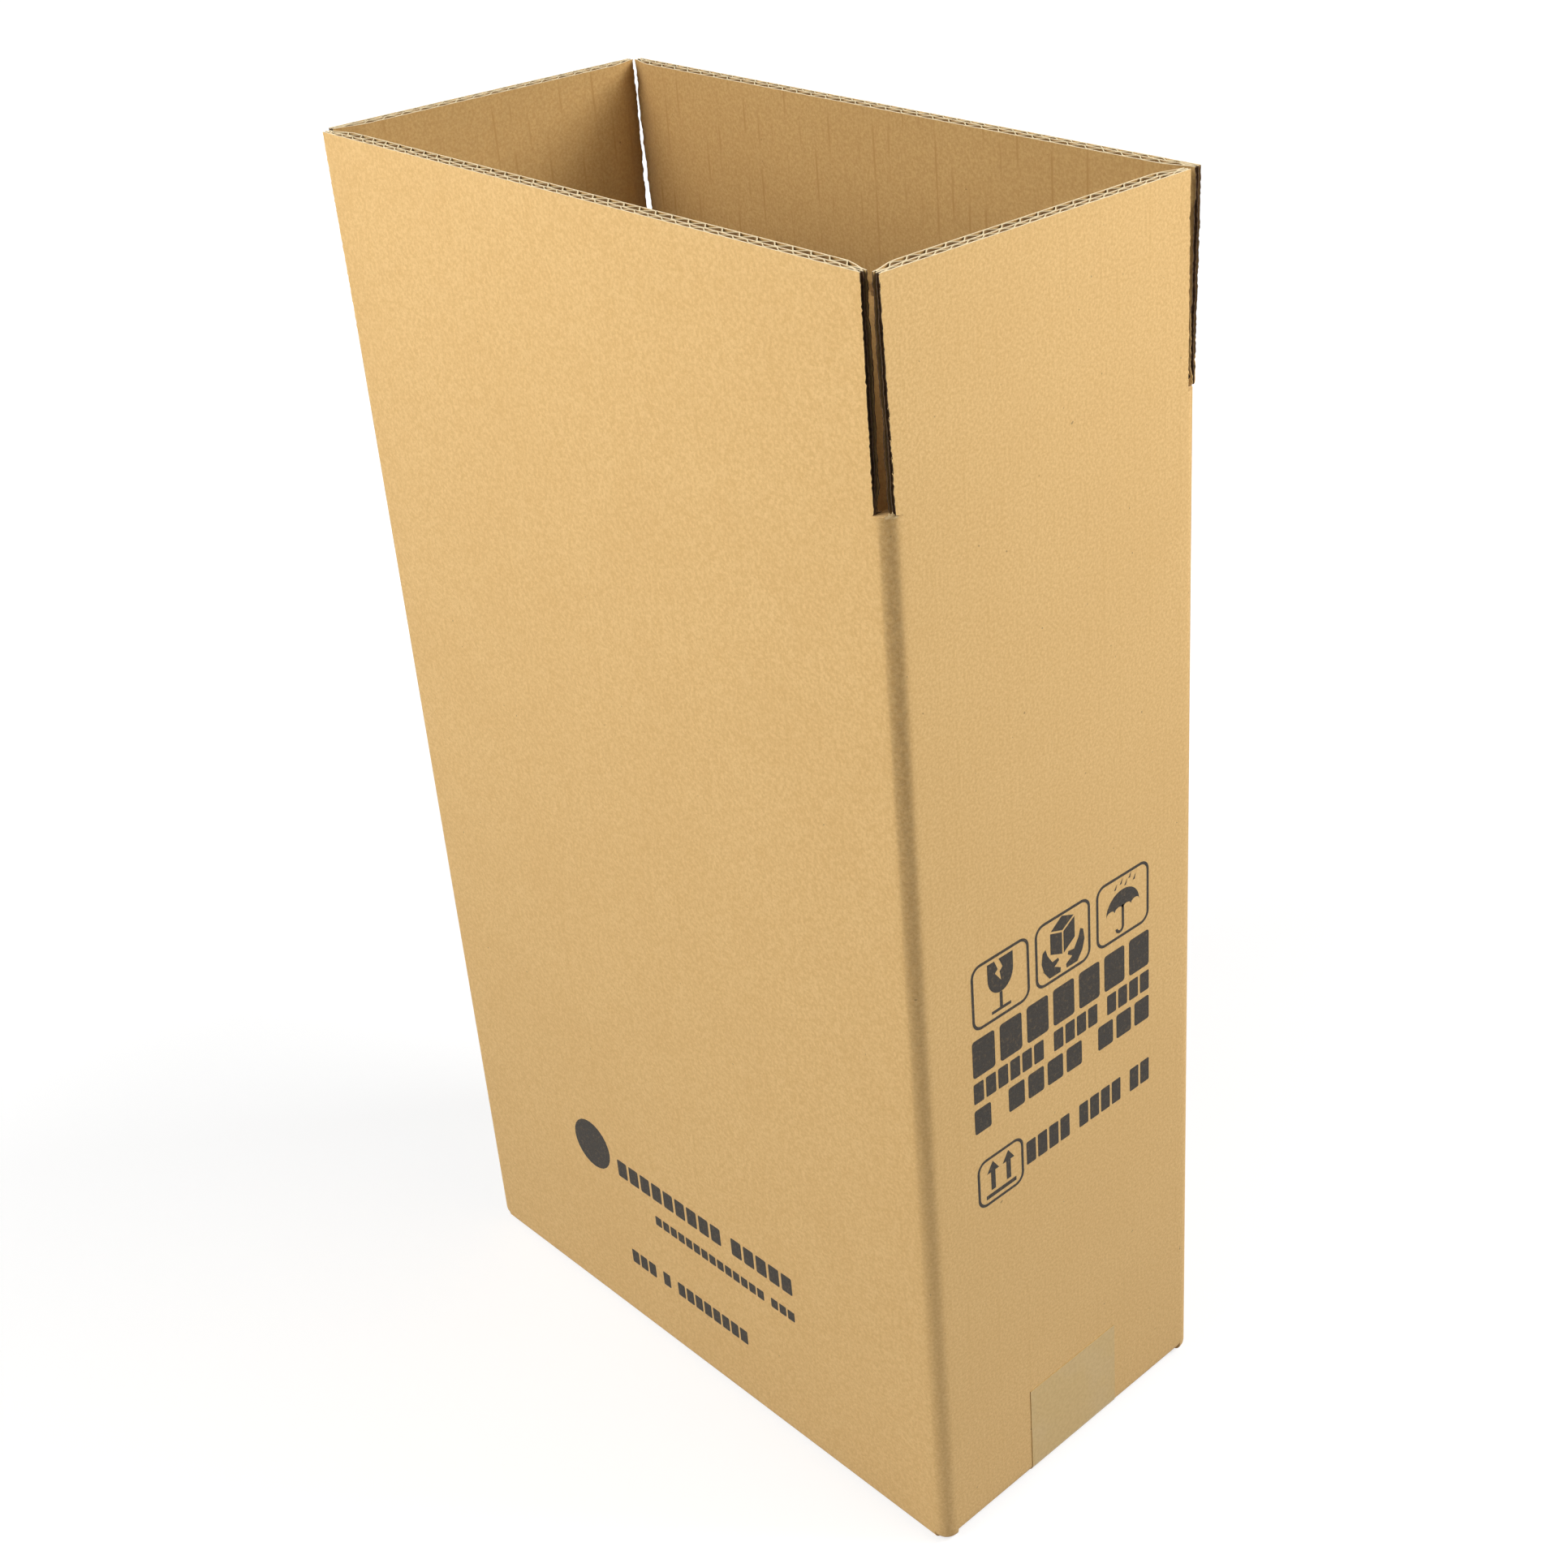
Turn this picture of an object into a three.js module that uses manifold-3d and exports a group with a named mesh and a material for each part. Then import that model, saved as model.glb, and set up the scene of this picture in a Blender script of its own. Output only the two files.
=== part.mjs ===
// A regular slotted shipping carton of double-wall corrugated board, standing open.
// Millimetres, +Z up, origin at the middle of the base, the wide printed panel facing -Y.
//
// The carton is one folded blank. Its walls, glue lap and taped bottom flaps are one solid.
// The four top flaps are cut from the same blank, and each turns on its own crease, so each is
// a solid of its own. A strip of tape closes the bottom seam and runs up both narrow walls.

import * as THREE from 'three';
import { mergeVertices } from 'three/addons/utils/BufferGeometryUtils.js';
import Module from 'manifold-3d';

const wasm = await Module();
wasm.setup();

// Clear space inside the closed carton.
const INNER_LENGTH = 270;
const INNER_WIDTH = 130;
const INNER_HEIGHT = 394;

// Double-wall board: three flat liners with a fluted medium in each gap between them.
const LINER = 0.35;
const MEDIUM = 0.3;
const OUTER_FLUTE_HEIGHT = 2.05;
const OUTER_FLUTE_PITCH = 6.5;
const INNER_FLUTE_HEIGHT = 2.9;
const INNER_FLUTE_PITCH = 7.7;

// Clearances between folded layers, at the creases and at the slots.
const LAYER_GAP = 0.3;
const CREASE_GAP = 0.3;
const SLOT_CLEARANCE = 0.3;
const SLOT_OVERCUT = 3;
const SEAM_GAP = 3;

// Score lines and knife cuts crush the board. The folds of the inner bottom layer sag down
// outside the ends of the outer layer.
const BOTTOM_FOLD_RADIUS = 4;
const SHORT_FOLD_SAG = 3.7;
const CRUSHED_EDGE = 3.2;
const CRUSHED_RUN = 10;
const CRUSHED_CREASE = 2.5;

// The glue lap folds in from the back panel and is glued inside the left panel.
const LAP_WIDTH = 35;
const LAP_THICKNESS = 3.5;
const LAP_EDGE_SETBACK = 1;
const LAP_GROOVE_WIDTH = 3;
const LAP_GROOVE_DEPTH = 2.2;

// Sealing tape along the bottom seam. The board gives a little under it.
const TAPE_WIDTH = 48;
const TAPE_THICKNESS = 0.2;
const TAPE_CLEARANCE = 0.05;
const TAPE_RISE = 41.7;
const TAPE_PRESS_RUN = 4;

// Facets on each quarter turn of a fold.
const FOLD_SEGMENTS = 6;

// Sizes that follow from those above.
const BOARD = 3 * LINER + OUTER_FLUTE_HEIGHT + INNER_FLUTE_HEIGHT;
const HALF_LENGTH = INNER_LENGTH / 2 + BOARD;
const HALF_WIDTH = INNER_WIDTH / 2 + BOARD;
const SLOT_REACH = BOARD + SLOT_CLEARANCE;
const LONG_FLAP_HALF = HALF_LENGTH - SLOT_REACH;
const SHORT_FLAP_HALF = HALF_WIDTH - SLOT_REACH;
const LAYER_STEP = BOARD + LAYER_GAP;
const FLOOR_LEVEL = LAYER_STEP + BOARD;
const SHORT_CREASE = FLOOR_LEVEL + INNER_HEIGHT + BOARD;
const LONG_CREASE = SHORT_CREASE + LAYER_STEP;
const LONG_FLAP = HALF_WIDTH - SEAM_GAP / 2;
const SHORT_FLAP = LONG_FLAP + LAYER_STEP;
const SHORT_FOOT = LAYER_STEP - SHORT_FOLD_SAG;
const CORNER_OVERLAP = SLOT_REACH + LINER;
const CORNER_BOTTOM = LAYER_STEP + CREASE_GAP;
const CORNER_TOP = SHORT_CREASE - CREASE_GAP - BOARD;
const TAPE_PRESS = TAPE_THICKNESS + 2 * TAPE_CLEARANCE;

const kraft = new THREE.Color(0xdcb67c);
const tan = new THREE.Color(0xc4a971);
const BOARD_LOOK = { color: kraft, roughness: 0.85, metalness: 0 };
const TAPE_LOOK = { color: tan, roughness: 0.3, metalness: 0 };

// Ways to lay a flat section: its x and y in the section, and the way it is drawn out.
const ALONG_X = new THREE.Matrix4().makeBasis(
  new THREE.Vector3(0, 1, 0),
  new THREE.Vector3(0, 0, 1),
  new THREE.Vector3(1, 0, 0),
);
const ALONG_MINUS_Y = new THREE.Matrix4().makeBasis(
  new THREE.Vector3(1, 0, 0),
  new THREE.Vector3(0, 0, 1),
  new THREE.Vector3(0, -1, 0),
);

/** A solid for joining and cutting, from a closed geometry. */
function solidOf(geometry) {
  geometry.deleteAttribute('normal');
  geometry.deleteAttribute('uv');
  const merged = mergeVertices(geometry);
  return new wasm.Manifold(new wasm.Mesh({
    numProp: 3,
    vertProperties: new Float32Array(merged.attributes.position.array),
    triVerts: new Uint32Array(merged.index.array),
  }));
}

/** The geometry of a finished solid. */
function geometryOf(solid) {
  const { vertProperties, triVerts } = solid.getMesh();
  const geometry = new THREE.BufferGeometry();
  geometry.setAttribute('position', new THREE.BufferAttribute(vertProperties, 3));
  geometry.setIndex(new THREE.BufferAttribute(triVerts, 1));
  geometry.computeVertexNormals();
  return geometry;
}

/** One or more flat outlines drawn out to a given length, as one geometry. */
function drawnOut(outlines, length) {
  const settings = { depth: length, bevelEnabled: false, curveSegments: FOLD_SEGMENTS };
  return new THREE.ExtrudeGeometry(outlines, settings);
}

/** A section in Y and Z, drawn out along X and centred on it. */
function acrossLength(section, length) {
  const geometry = drawnOut(section, length).translate(0, 0, -length / 2);
  return solidOf(geometry.applyMatrix4(ALONG_X));
}

/** A section in X and Z, drawn out along Y and centred on it. */
function acrossWidth(section, length) {
  const geometry = drawnOut(section, length).translate(0, 0, -length / 2);
  return solidOf(geometry.applyMatrix4(ALONG_MINUS_Y));
}

/** A plan in X and Y, standing between two heights. */
function standing(plan, bottom, top) {
  return solidOf(drawnOut(plan, top - bottom).translate(0, 0, bottom));
}

/** A closed outline through the given points. */
function outline(points) {
  return new THREE.Shape(points.map(([x, y]) => new THREE.Vector2(x, y)));
}

/**
 * The section of a panel with its bottom flap folded in under the carton: the wall, the round
 * fold at its foot and the flap, which lies at the height layer. Its top slopes down inwards,
 * where the crease is crushed, so that the top flap can fold in over it. The outer face is at
 * -face.
 */
function panelSection(face, crease, foot, layer, flapEnd, pressed) {
  const bottom = pressed ? layer + TAPE_PRESS : layer;
  const section = new THREE.Shape();
  section.moveTo(-face, crease - CREASE_GAP / 2);
  section.lineTo(-face, foot + BOTTOM_FOLD_RADIUS);
  section.absarc(
    -face + BOTTOM_FOLD_RADIUS,
    foot + BOTTOM_FOLD_RADIUS,
    BOTTOM_FOLD_RADIUS,
    Math.PI,
    Math.PI * 1.5,
    false,
  );
  if (pressed) {
    section.lineTo(-TAPE_WIDTH / 2 - TAPE_PRESS_RUN, foot);
    section.lineTo(-TAPE_WIDTH / 2 - TAPE_CLEARANCE, bottom);
  }
  if (layer > foot) {
    section.lineTo(-face + BOARD, foot);
    section.lineTo(-face + BOARD, layer);
  }
  section.lineTo(-flapEnd, bottom);
  section.lineTo(-flapEnd, layer + BOARD);
  section.lineTo(-face + BOARD, layer + BOARD);
  section.lineTo(-face + BOARD, crease - CREASE_GAP / 2 - BOARD);
  return section;
}

/** A long panel, front or back, with its half of the outer bottom layer. */
function longPanel() {
  const section = panelSection(HALF_WIDTH, LONG_CREASE, 0, 0, SEAM_GAP / 2, true);
  return acrossLength(section, 2 * LONG_FLAP_HALF);
}

/** A short panel, left or right, with its flap of the inner bottom layer. */
function shortPanel() {
  const flapEnd = HALF_LENGTH - SHORT_FLAP;
  const foot = SHORT_FOOT;
  const section = panelSection(HALF_LENGTH, SHORT_CREASE, foot, LAYER_STEP, flapEnd, false);
  return acrossWidth(section, 2 * SHORT_FLAP_HALF);
}

/**
 * The upright fold where two panels meet, at the corner +X -Y. The board wraps round its own
 * inner corner. It joins both panels up to the crushed crease, and beyond that a short stub of
 * the fold is left, up to the ends of the slots, clear of the flaps that turn beside it.
 */
function cornerFold() {
  const inner = new THREE.Vector2(HALF_LENGTH - BOARD, -HALF_WIDTH + BOARD);
  const stub = new THREE.Shape();
  stub.moveTo(inner.x, inner.y);
  stub.lineTo(inner.x, -HALF_WIDTH);
  stub.absarc(inner.x, inner.y, BOARD, -Math.PI / 2, 0, false);

  const round = new THREE.Shape();
  round.moveTo(HALF_LENGTH - CORNER_OVERLAP, -HALF_WIDTH);
  round.absarc(inner.x, inner.y, BOARD, -Math.PI / 2, 0, false);
  round.lineTo(HALF_LENGTH, -HALF_WIDTH + CORNER_OVERLAP);
  round.lineTo(inner.x, -HALF_WIDTH + CORNER_OVERLAP);
  round.lineTo(inner.x, inner.y);
  round.lineTo(HALF_LENGTH - CORNER_OVERLAP, inner.y);

  const whole = standing(stub, SLOT_OVERCUT, LONG_CREASE - SLOT_OVERCUT);
  return whole.add(standing(round, CORNER_BOTTOM, CORNER_TOP));
}

/**
 * The back left corner, where the blank's two ends are joined. The left panel ends in a cut
 * edge here, and the back panel turns in beside it as the lap.
 */
function lapCorner() {
  const plan = outline([
    [-HALF_LENGTH, HALF_WIDTH - CORNER_OVERLAP],
    [-HALF_LENGTH + BOARD, HALF_WIDTH - CORNER_OVERLAP],
    [-HALF_LENGTH + BOARD, HALF_WIDTH - BOARD],
    [-HALF_LENGTH + CORNER_OVERLAP, HALF_WIDTH - BOARD],
    [-HALF_LENGTH + CORNER_OVERLAP, HALF_WIDTH],
    [-HALF_LENGTH, HALF_WIDTH],
  ]);
  const stub = outline([
    [-HALF_LENGTH, HALF_WIDTH - BOARD],
    [-HALF_LENGTH + BOARD, HALF_WIDTH - BOARD],
    [-HALF_LENGTH + BOARD, HALF_WIDTH],
    [-HALF_LENGTH, HALF_WIDTH],
  ]);
  return standing(plan, CORNER_BOTTOM, CORNER_TOP).add(standing(stub, CORNER_BOTTOM, SHORT_CREASE));
}

/** Takes the cut edge back from the corner, with the score of the lap as a groove beside it. */
function lapGroove() {
  const seam = -HALF_LENGTH + BOARD;
  const plan = outline([
    [-HALF_LENGTH - LINER, HALF_WIDTH + LINER],
    [-HALF_LENGTH - LINER, HALF_WIDTH - LAP_EDGE_SETBACK],
    [seam - LAP_GROOVE_WIDTH / 4, HALF_WIDTH - LAP_EDGE_SETBACK],
    [seam, HALF_WIDTH - LAP_GROOVE_DEPTH],
    [seam + LAP_GROOVE_WIDTH / 2, HALF_WIDTH],
    [seam + LAP_GROOVE_WIDTH / 2, HALF_WIDTH + LINER],
  ]);
  return standing(plan, CORNER_BOTTOM, SHORT_CREASE);
}

/** The lap itself, flat against the inside of the left panel, with sloped ends. */
function glueLap() {
  const root = HALF_WIDTH - BOARD + LINER;
  const tip = HALF_WIDTH - BOARD - LAP_WIDTH;
  const low = FLOOR_LEVEL + LAYER_GAP;
  const high = SHORT_CREASE - CREASE_GAP / 2 - BOARD;
  const slope = LAP_WIDTH / 4;
  const lap = outline([
    [root, low],
    [root, high],
    [tip, high - slope],
    [tip, low + slope],
  ]);
  const thick = LAP_THICKNESS + LINER;
  const geometry = drawnOut(lap, thick).applyMatrix4(ALONG_X);
  return solidOf(geometry.translate(-HALF_LENGTH + BOARD - LINER, 0, 0));
}

/** The walls, the glue lap and the bottom flaps: one folded sheet. */
function cartonBody() {
  const corner = cornerFold();
  const folds = [corner, corner.mirror([1, 0, 0]), corner.mirror([0, 1, 0])];
  const front = longPanel();
  const left = shortPanel();
  const pieces = [
    front,
    front.rotate([0, 0, 180]),
    left,
    left.rotate([0, 0, 180]),
    ...folds,
    lapCorner(),
    glueLap(),
  ];
  return pieces.reduce((body, part) => body.add(part)).subtract(lapGroove());
}

/**
 * The hollows of one fluted layer, as outlines across the board. The medium waves between the
 * liners at depths near and far, and leaves a hollow on each side of it in turn.
 */
function fluteHollows(near, height, pitch, halfRun) {
  const rise = height - MEDIUM;
  const shape = [
    [-0.4, 0],
    [0.4, 0],
    [0.22, 0.55],
    [0.09, 1],
    [-0.09, 1],
    [-0.22, 0.55],
  ];
  const halfWaves = Math.floor((2 * halfRun) / (pitch / 2)) - 1;
  const first = -((halfWaves - 1) * pitch) / 4;
  const hollows = [];
  for (let index = 0; index < halfWaves; index += 1) {
    const middle = first + (index * pitch) / 2;
    const turned = index % 2 === 1;
    const base = turned ? near + height : near;
    const side = turned ? -1 : 1;
    const points = shape.map(([across, up]) => [
      middle + side * across * pitch,
      base + side * up * rise,
    ]);
    hollows.push(outline(points));
  }
  return hollows;
}

/**
 * A top flap, upright, in its own frame: the crease runs along X on the outer face, and the
 * inner face is towards +Y. The flutes run up the flap and show as hollows at its cut edge.
 * They end in the crushed strip above the crease. Both ends are pinched by the slotting knife.
 */
function topFlap(halfWidth, height) {
  const plan = outline([
    [-halfWidth, 0],
    [halfWidth, 0],
    [halfWidth, CRUSHED_EDGE],
    [halfWidth - CRUSHED_RUN, BOARD],
    [-halfWidth + CRUSHED_RUN, BOARD],
    [-halfWidth, CRUSHED_EDGE],
  ]);
  const flap = standing(plan, CREASE_GAP / 2, height);

  // Below this slope the crease is crushed, which leaves room to fold in.
  const wedge = outline([
    [-BOARD, -BOARD + CREASE_GAP / 2],
    [2 * BOARD, 2 * BOARD + CREASE_GAP / 2],
    [2 * BOARD, -BOARD + CREASE_GAP / 2],
  ]);
  const crease = acrossLength(wedge, 2 * halfWidth + 2 * BOARD);

  const outerDepth = LINER;
  const innerDepth = 2 * LINER + OUTER_FLUTE_HEIGHT;
  const pinch = CRUSHED_RUN * (1 - (CRUSHED_EDGE - innerDepth) / (BOARD - innerDepth));
  const outerRun = halfWidth - OUTER_FLUTE_PITCH / 2;
  const innerRun = halfWidth - Math.max(pinch, INNER_FLUTE_PITCH / 2);
  const hollows = [
    ...fluteHollows(outerDepth, OUTER_FLUTE_HEIGHT, OUTER_FLUTE_PITCH, outerRun),
    ...fluteHollows(innerDepth, INNER_FLUTE_HEIGHT, INNER_FLUTE_PITCH, innerRun),
  ];
  const strip = CREASE_GAP / 2 + BOARD + CRUSHED_CREASE;
  const flutes = standing(hollows, strip, height + BOARD);
  return flap.subtract(crease).subtract(flutes);
}

/** The path of the tape's sticky face on the right half, from the middle of the base. */
function tapePath(lift) {
  const edge = new THREE.Vector2(LONG_FLAP_HALF + lift, TAPE_PRESS - lift);
  const centre = new THREE.Vector2(
    HALF_LENGTH - BOTTOM_FOLD_RADIUS,
    SHORT_FOOT + BOTTOM_FOLD_RADIUS,
  );
  const radius = BOTTOM_FOLD_RADIUS + lift;
  const reach = edge.clone().sub(centre);
  const start = reach.angle() + Math.acos(radius / reach.length());
  const turn = Math.PI * 2 - start;
  const path = [[0, edge.y], [edge.x, edge.y]];
  for (let step = 0; step <= FOLD_SEGMENTS; step += 1) {
    const angle = start + (turn * step) / FOLD_SEGMENTS;
    path.push([centre.x + radius * Math.cos(angle), centre.y + radius * Math.sin(angle)]);
  }
  path.push([HALF_LENGTH + lift, SHORT_FOOT + TAPE_RISE]);
  return path;
}

/** The sealing tape, stuck under the bottom seam and up both narrow walls. */
function bottomTape() {
  const mirrored = (path) => path.slice(1).reverse().map(([x, z]) => [-x, z]);
  const inner = tapePath(TAPE_CLEARANCE);
  const outer = tapePath(TAPE_CLEARANCE + TAPE_THICKNESS);
  const upper = [...mirrored(inner), ...inner.slice(1)];
  const lower = [...mirrored(outer), ...outer.slice(1)];
  return acrossWidth(outline([...upper, ...lower.reverse()]), TAPE_WIDTH);
}

/** A named piece of the carton, at its place. */
function piece(name, solid, look, place = [0, 0, 0], turn = 0) {
  const mesh = new THREE.Mesh(geometryOf(solid), new THREE.MeshStandardMaterial(look));
  mesh.name = name;
  mesh.position.set(...place);
  mesh.rotation.z = turn;
  return mesh;
}

const longFlap = topFlap(LONG_FLAP_HALF, LONG_FLAP);
const shortFlap = topFlap(SHORT_FLAP_HALF, SHORT_FLAP);

const carton = new THREE.Group();
carton.add(
  piece('carton_body', cartonBody(), BOARD_LOOK),
  piece('front_top_flap', longFlap, BOARD_LOOK, [0, -HALF_WIDTH, LONG_CREASE]),
  piece('back_top_flap', longFlap, BOARD_LOOK, [0, HALF_WIDTH, LONG_CREASE], Math.PI),
  piece('right_top_flap', shortFlap, BOARD_LOOK, [HALF_LENGTH, 0, SHORT_CREASE], Math.PI / 2),
  piece('left_top_flap', shortFlap, BOARD_LOOK, [-HALF_LENGTH, 0, SHORT_CREASE], -Math.PI / 2),
  piece('bottom_tape', bottomTape(), TAPE_LOOK),
);

export default carton;
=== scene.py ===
"""The looks of a slotted shipping carton of double-wall corrugated board, standing open.

Everything is in metres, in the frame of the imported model: X along the wide panels, the front
wide panel facing -Y, +Z up. The blank is dressed as the board it is: three flat liners with a
fluted medium in each gap, which show at every cut edge.
"""

import logging
import math
from collections.abc import Iterable, Sequence
from dataclasses import dataclass, field
from enum import Enum

import bmesh
import bpy
from mathutils import Matrix, Vector

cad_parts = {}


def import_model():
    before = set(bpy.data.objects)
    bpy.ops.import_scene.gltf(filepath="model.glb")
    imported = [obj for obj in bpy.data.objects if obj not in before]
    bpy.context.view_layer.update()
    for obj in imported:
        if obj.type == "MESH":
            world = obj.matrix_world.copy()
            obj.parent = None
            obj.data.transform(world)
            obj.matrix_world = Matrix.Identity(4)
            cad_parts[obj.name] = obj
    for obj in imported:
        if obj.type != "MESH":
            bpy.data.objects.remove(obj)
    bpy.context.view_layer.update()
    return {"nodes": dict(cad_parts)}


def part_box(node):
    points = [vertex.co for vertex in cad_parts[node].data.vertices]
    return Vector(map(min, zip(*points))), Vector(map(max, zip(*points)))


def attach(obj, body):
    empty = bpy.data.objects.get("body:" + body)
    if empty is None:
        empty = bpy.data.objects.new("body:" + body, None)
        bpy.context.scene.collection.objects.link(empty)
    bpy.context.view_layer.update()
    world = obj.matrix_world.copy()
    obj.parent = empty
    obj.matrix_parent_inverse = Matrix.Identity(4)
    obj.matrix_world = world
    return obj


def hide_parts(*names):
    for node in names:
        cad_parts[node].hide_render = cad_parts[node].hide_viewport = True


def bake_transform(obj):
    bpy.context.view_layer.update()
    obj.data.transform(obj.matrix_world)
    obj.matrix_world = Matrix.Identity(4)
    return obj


MM = 0.001
Point = tuple[float, float]
LOG = logging.getLogger("carton")
SHARP_ANGLE = math.radians(35)
FLAP_ROOT = 8 * MM


class Side(Enum):
    """The four panels, each with the turn about Z that brings the front panel there."""

    FRONT = 0.0
    RIGHT = 90.0
    BACK = 180.0
    LEFT = -90.0

    @property
    def word(self) -> str:
        """The side's name as the nodes and bodies spell it."""
        return self.name.lower()

    @property
    def is_long(self) -> bool:
        """Whether this is one of the two wide panels."""
        return self in (Side.FRONT, Side.BACK)


@dataclass(frozen=True)
class Sizes:
    """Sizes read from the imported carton, so that the looks follow the solids."""

    half_length: float
    half_width: float
    board: float
    rim: float
    long_crease: float
    short_crease: float
    long_flap_half: float
    short_flap_half: float
    layer: float
    short_foot: float
    slot_top: float

    @classmethod
    def from_frame(cls) -> "Sizes":
        """Measure the CAD nodes at rest.

        Returns:
            The sizes that every part of the scene is built from.
        """
        _, body_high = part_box("carton_body")
        front_low, front_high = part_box("front_top_flap")
        right_low, right_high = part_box("right_top_flap")
        board = front_high.y - front_low.y
        crease_gap = 0.15 * MM
        slot_overcut = 3 * MM
        short_fold_sag = 3.7 * MM
        long_crease = front_low.z - crease_gap
        short_crease = right_low.z - crease_gap
        layer = long_crease - short_crease
        return cls(
            half_length=body_high.x,
            half_width=body_high.y,
            board=board,
            rim=front_high.z,
            long_crease=long_crease,
            short_crease=short_crease,
            long_flap_half=front_high.x,
            short_flap_half=right_high.y,
            layer=layer,
            short_foot=layer - short_fold_sag,
            slot_top=long_crease - slot_overcut,
        )


class Graph:
    """A node tree under construction, with short calls for the sums that it needs."""

    def __init__(self, tree: bpy.types.NodeTree) -> None:
        """Keep the tree that nodes are added to."""
        self.tree = tree

    def node(self, kind: str, **settings: object) -> bpy.types.Node:
        """Add a node.

        Args:
            kind: the node's type name.
            settings: properties to set on the node.

        Returns:
            The new node.
        """
        made = self.tree.nodes.new(kind)
        for name, value in settings.items():
            setattr(made, name, value)
        return made

    def feed(self, socket: bpy.types.NodeSocket, value: object) -> None:
        """Link a socket to another, or give it a plain value.

        Args:
            socket: the input to set.
            value: an output to link, or a plain value.
        """
        if isinstance(value, bpy.types.NodeSocket):
            self.tree.links.new(value, socket)
        else:
            socket.default_value = value

    def maths(self, operation: str, *values: object) -> bpy.types.NodeSocket:
        """Work out one arithmetic step.

        Args:
            operation: the Math node's operation.
            values: one to three sockets or numbers.

        Returns:
            The result's socket.
        """
        made = self.node("ShaderNodeMath", operation=operation)
        for socket, value in zip(made.inputs, values):
            self.feed(socket, value)
        return made.outputs[0]

    def sum(self, *values: object) -> bpy.types.NodeSocket:
        """Add up any number of sockets and numbers.

        Args:
            values: what is added up.

        Returns:
            The sum's socket.
        """
        total = values[0]
        for value in values[1:]:
            total = self.maths("ADD", total, value)
        return total

    def times(self, *values: object) -> bpy.types.NodeSocket:
        """Multiply any number of sockets and numbers.

        Args:
            values: what is multiplied.

        Returns:
            The product's socket.
        """
        product = values[0]
        for value in values[1:]:
            product = self.maths("MULTIPLY", product, value)
        return product

    def ramp(
        self,
        value: object,
        low: object,
        high: object,
        start: object = 0.0,
        end: object = 1.0,
    ) -> bpy.types.NodeSocket:
        """Go smoothly from start to end as value goes from low to high.

        Args:
            value: the socket that drives the change.
            low: the value where it starts.
            high: the value where it ends.
            start: the result below low.
            end: the result above high.

        Returns:
            The result's socket.
        """
        made = self.node("ShaderNodeMapRange", interpolation_type="SMOOTHSTEP")
        for name, given in (
            ("Value", value),
            ("From Min", low),
            ("From Max", high),
            ("To Min", start),
            ("To Max", end),
        ):
            self.feed(made.inputs[name], given)
        return made.outputs["Result"]

    def split(self, vector: bpy.types.NodeSocket) -> tuple[bpy.types.NodeSocket, ...]:
        """The three parts of a vector.

        Args:
            vector: the vector to take apart.

        Returns:
            Its X, Y and Z sockets.
        """
        made = self.node("ShaderNodeSeparateXYZ")
        self.feed(made.inputs[0], vector)
        return tuple(made.outputs)

    def join(self, *parts: object) -> bpy.types.NodeSocket:
        """A vector from its three parts.

        Args:
            parts: its X, Y and Z.

        Returns:
            The vector's socket.
        """
        made = self.node("ShaderNodeCombineXYZ")
        for socket, part in zip(made.inputs, parts):
            self.feed(socket, part)
        return made.outputs[0]

    def noise(
        self, vector: object, scale: float, detail: float = 2.0, rough: float = 0.5
    ) -> bpy.types.NodeSocket:
        """Smooth noise from 0 to 1.

        Args:
            vector: where the noise is read.
            scale: waves per unit of the vector.
            detail: how many finer layers are added.
            rough: how strong the finer layers are.

        Returns:
            The noise's value.
        """
        made = self.node("ShaderNodeTexNoise")
        self.feed(made.inputs["Vector"], vector)
        made.inputs["Scale"].default_value = scale
        made.inputs["Detail"].default_value = detail
        made.inputs["Roughness"].default_value = rough
        return made.outputs["Fac"]

    def blend_colour(self, share: object, first: object, second: object) -> bpy.types.NodeSocket:
        """Mix two colours.

        Args:
            share: how much of the second colour is used.
            first: a colour or a colour socket.
            second: a colour or a colour socket.

        Returns:
            The mixed colour.
        """
        made = self.node("ShaderNodeMix", data_type="RGBA")
        self.feed(made.inputs["Factor"], share)
        self.feed(made.inputs["A"], first)
        self.feed(made.inputs["B"], second)
        return made.outputs["Result"]

    def bump(
        self,
        shader: bpy.types.Node,
        height: bpy.types.NodeSocket,
        strength: float,
        distance: float,
    ) -> None:
        """Shade a surface as if it rose and fell.

        Args:
            shader: the surface's main shader.
            height: how far it rises, from 0 to 1.
            strength: how strong the effect is.
            distance: what a height of 1 stands for.
        """
        made = self.node("ShaderNodeBump")
        made.inputs["Strength"].default_value = strength
        made.inputs["Distance"].default_value = distance
        self.feed(made.inputs["Height"], height)
        self.feed(shader.inputs["Normal"], made.outputs["Normal"])


def colour(hexadecimal: str) -> tuple[float, float, float, float]:
    """A linear colour from a screen colour such as d9b47a.

    Args:
        hexadecimal: six hexadecimal digits.

    Returns:
        Linear red, green, blue and an alpha of 1.
    """
    shades = [int(hexadecimal[place : place + 2], 16) / 255 for place in (0, 2, 4)]
    linear = [s / 12.92 if s <= 0.04045 else ((s + 0.055) / 1.055) ** 2.4 for s in shades]
    return (*linear, 1.0)


def new_material(name: str) -> tuple[bpy.types.Material, Graph, bpy.types.Node]:
    """Start a material.

    Args:
        name: what the material is called.

    Returns:
        The material, its graph and its main shader.
    """
    material = bpy.data.materials.new(name)
    material.use_nodes = True
    graph = Graph(material.node_tree)
    shader = next(n for n in material.node_tree.nodes if n.type == "BSDF_PRINCIPLED")
    return material, graph, shader


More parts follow.
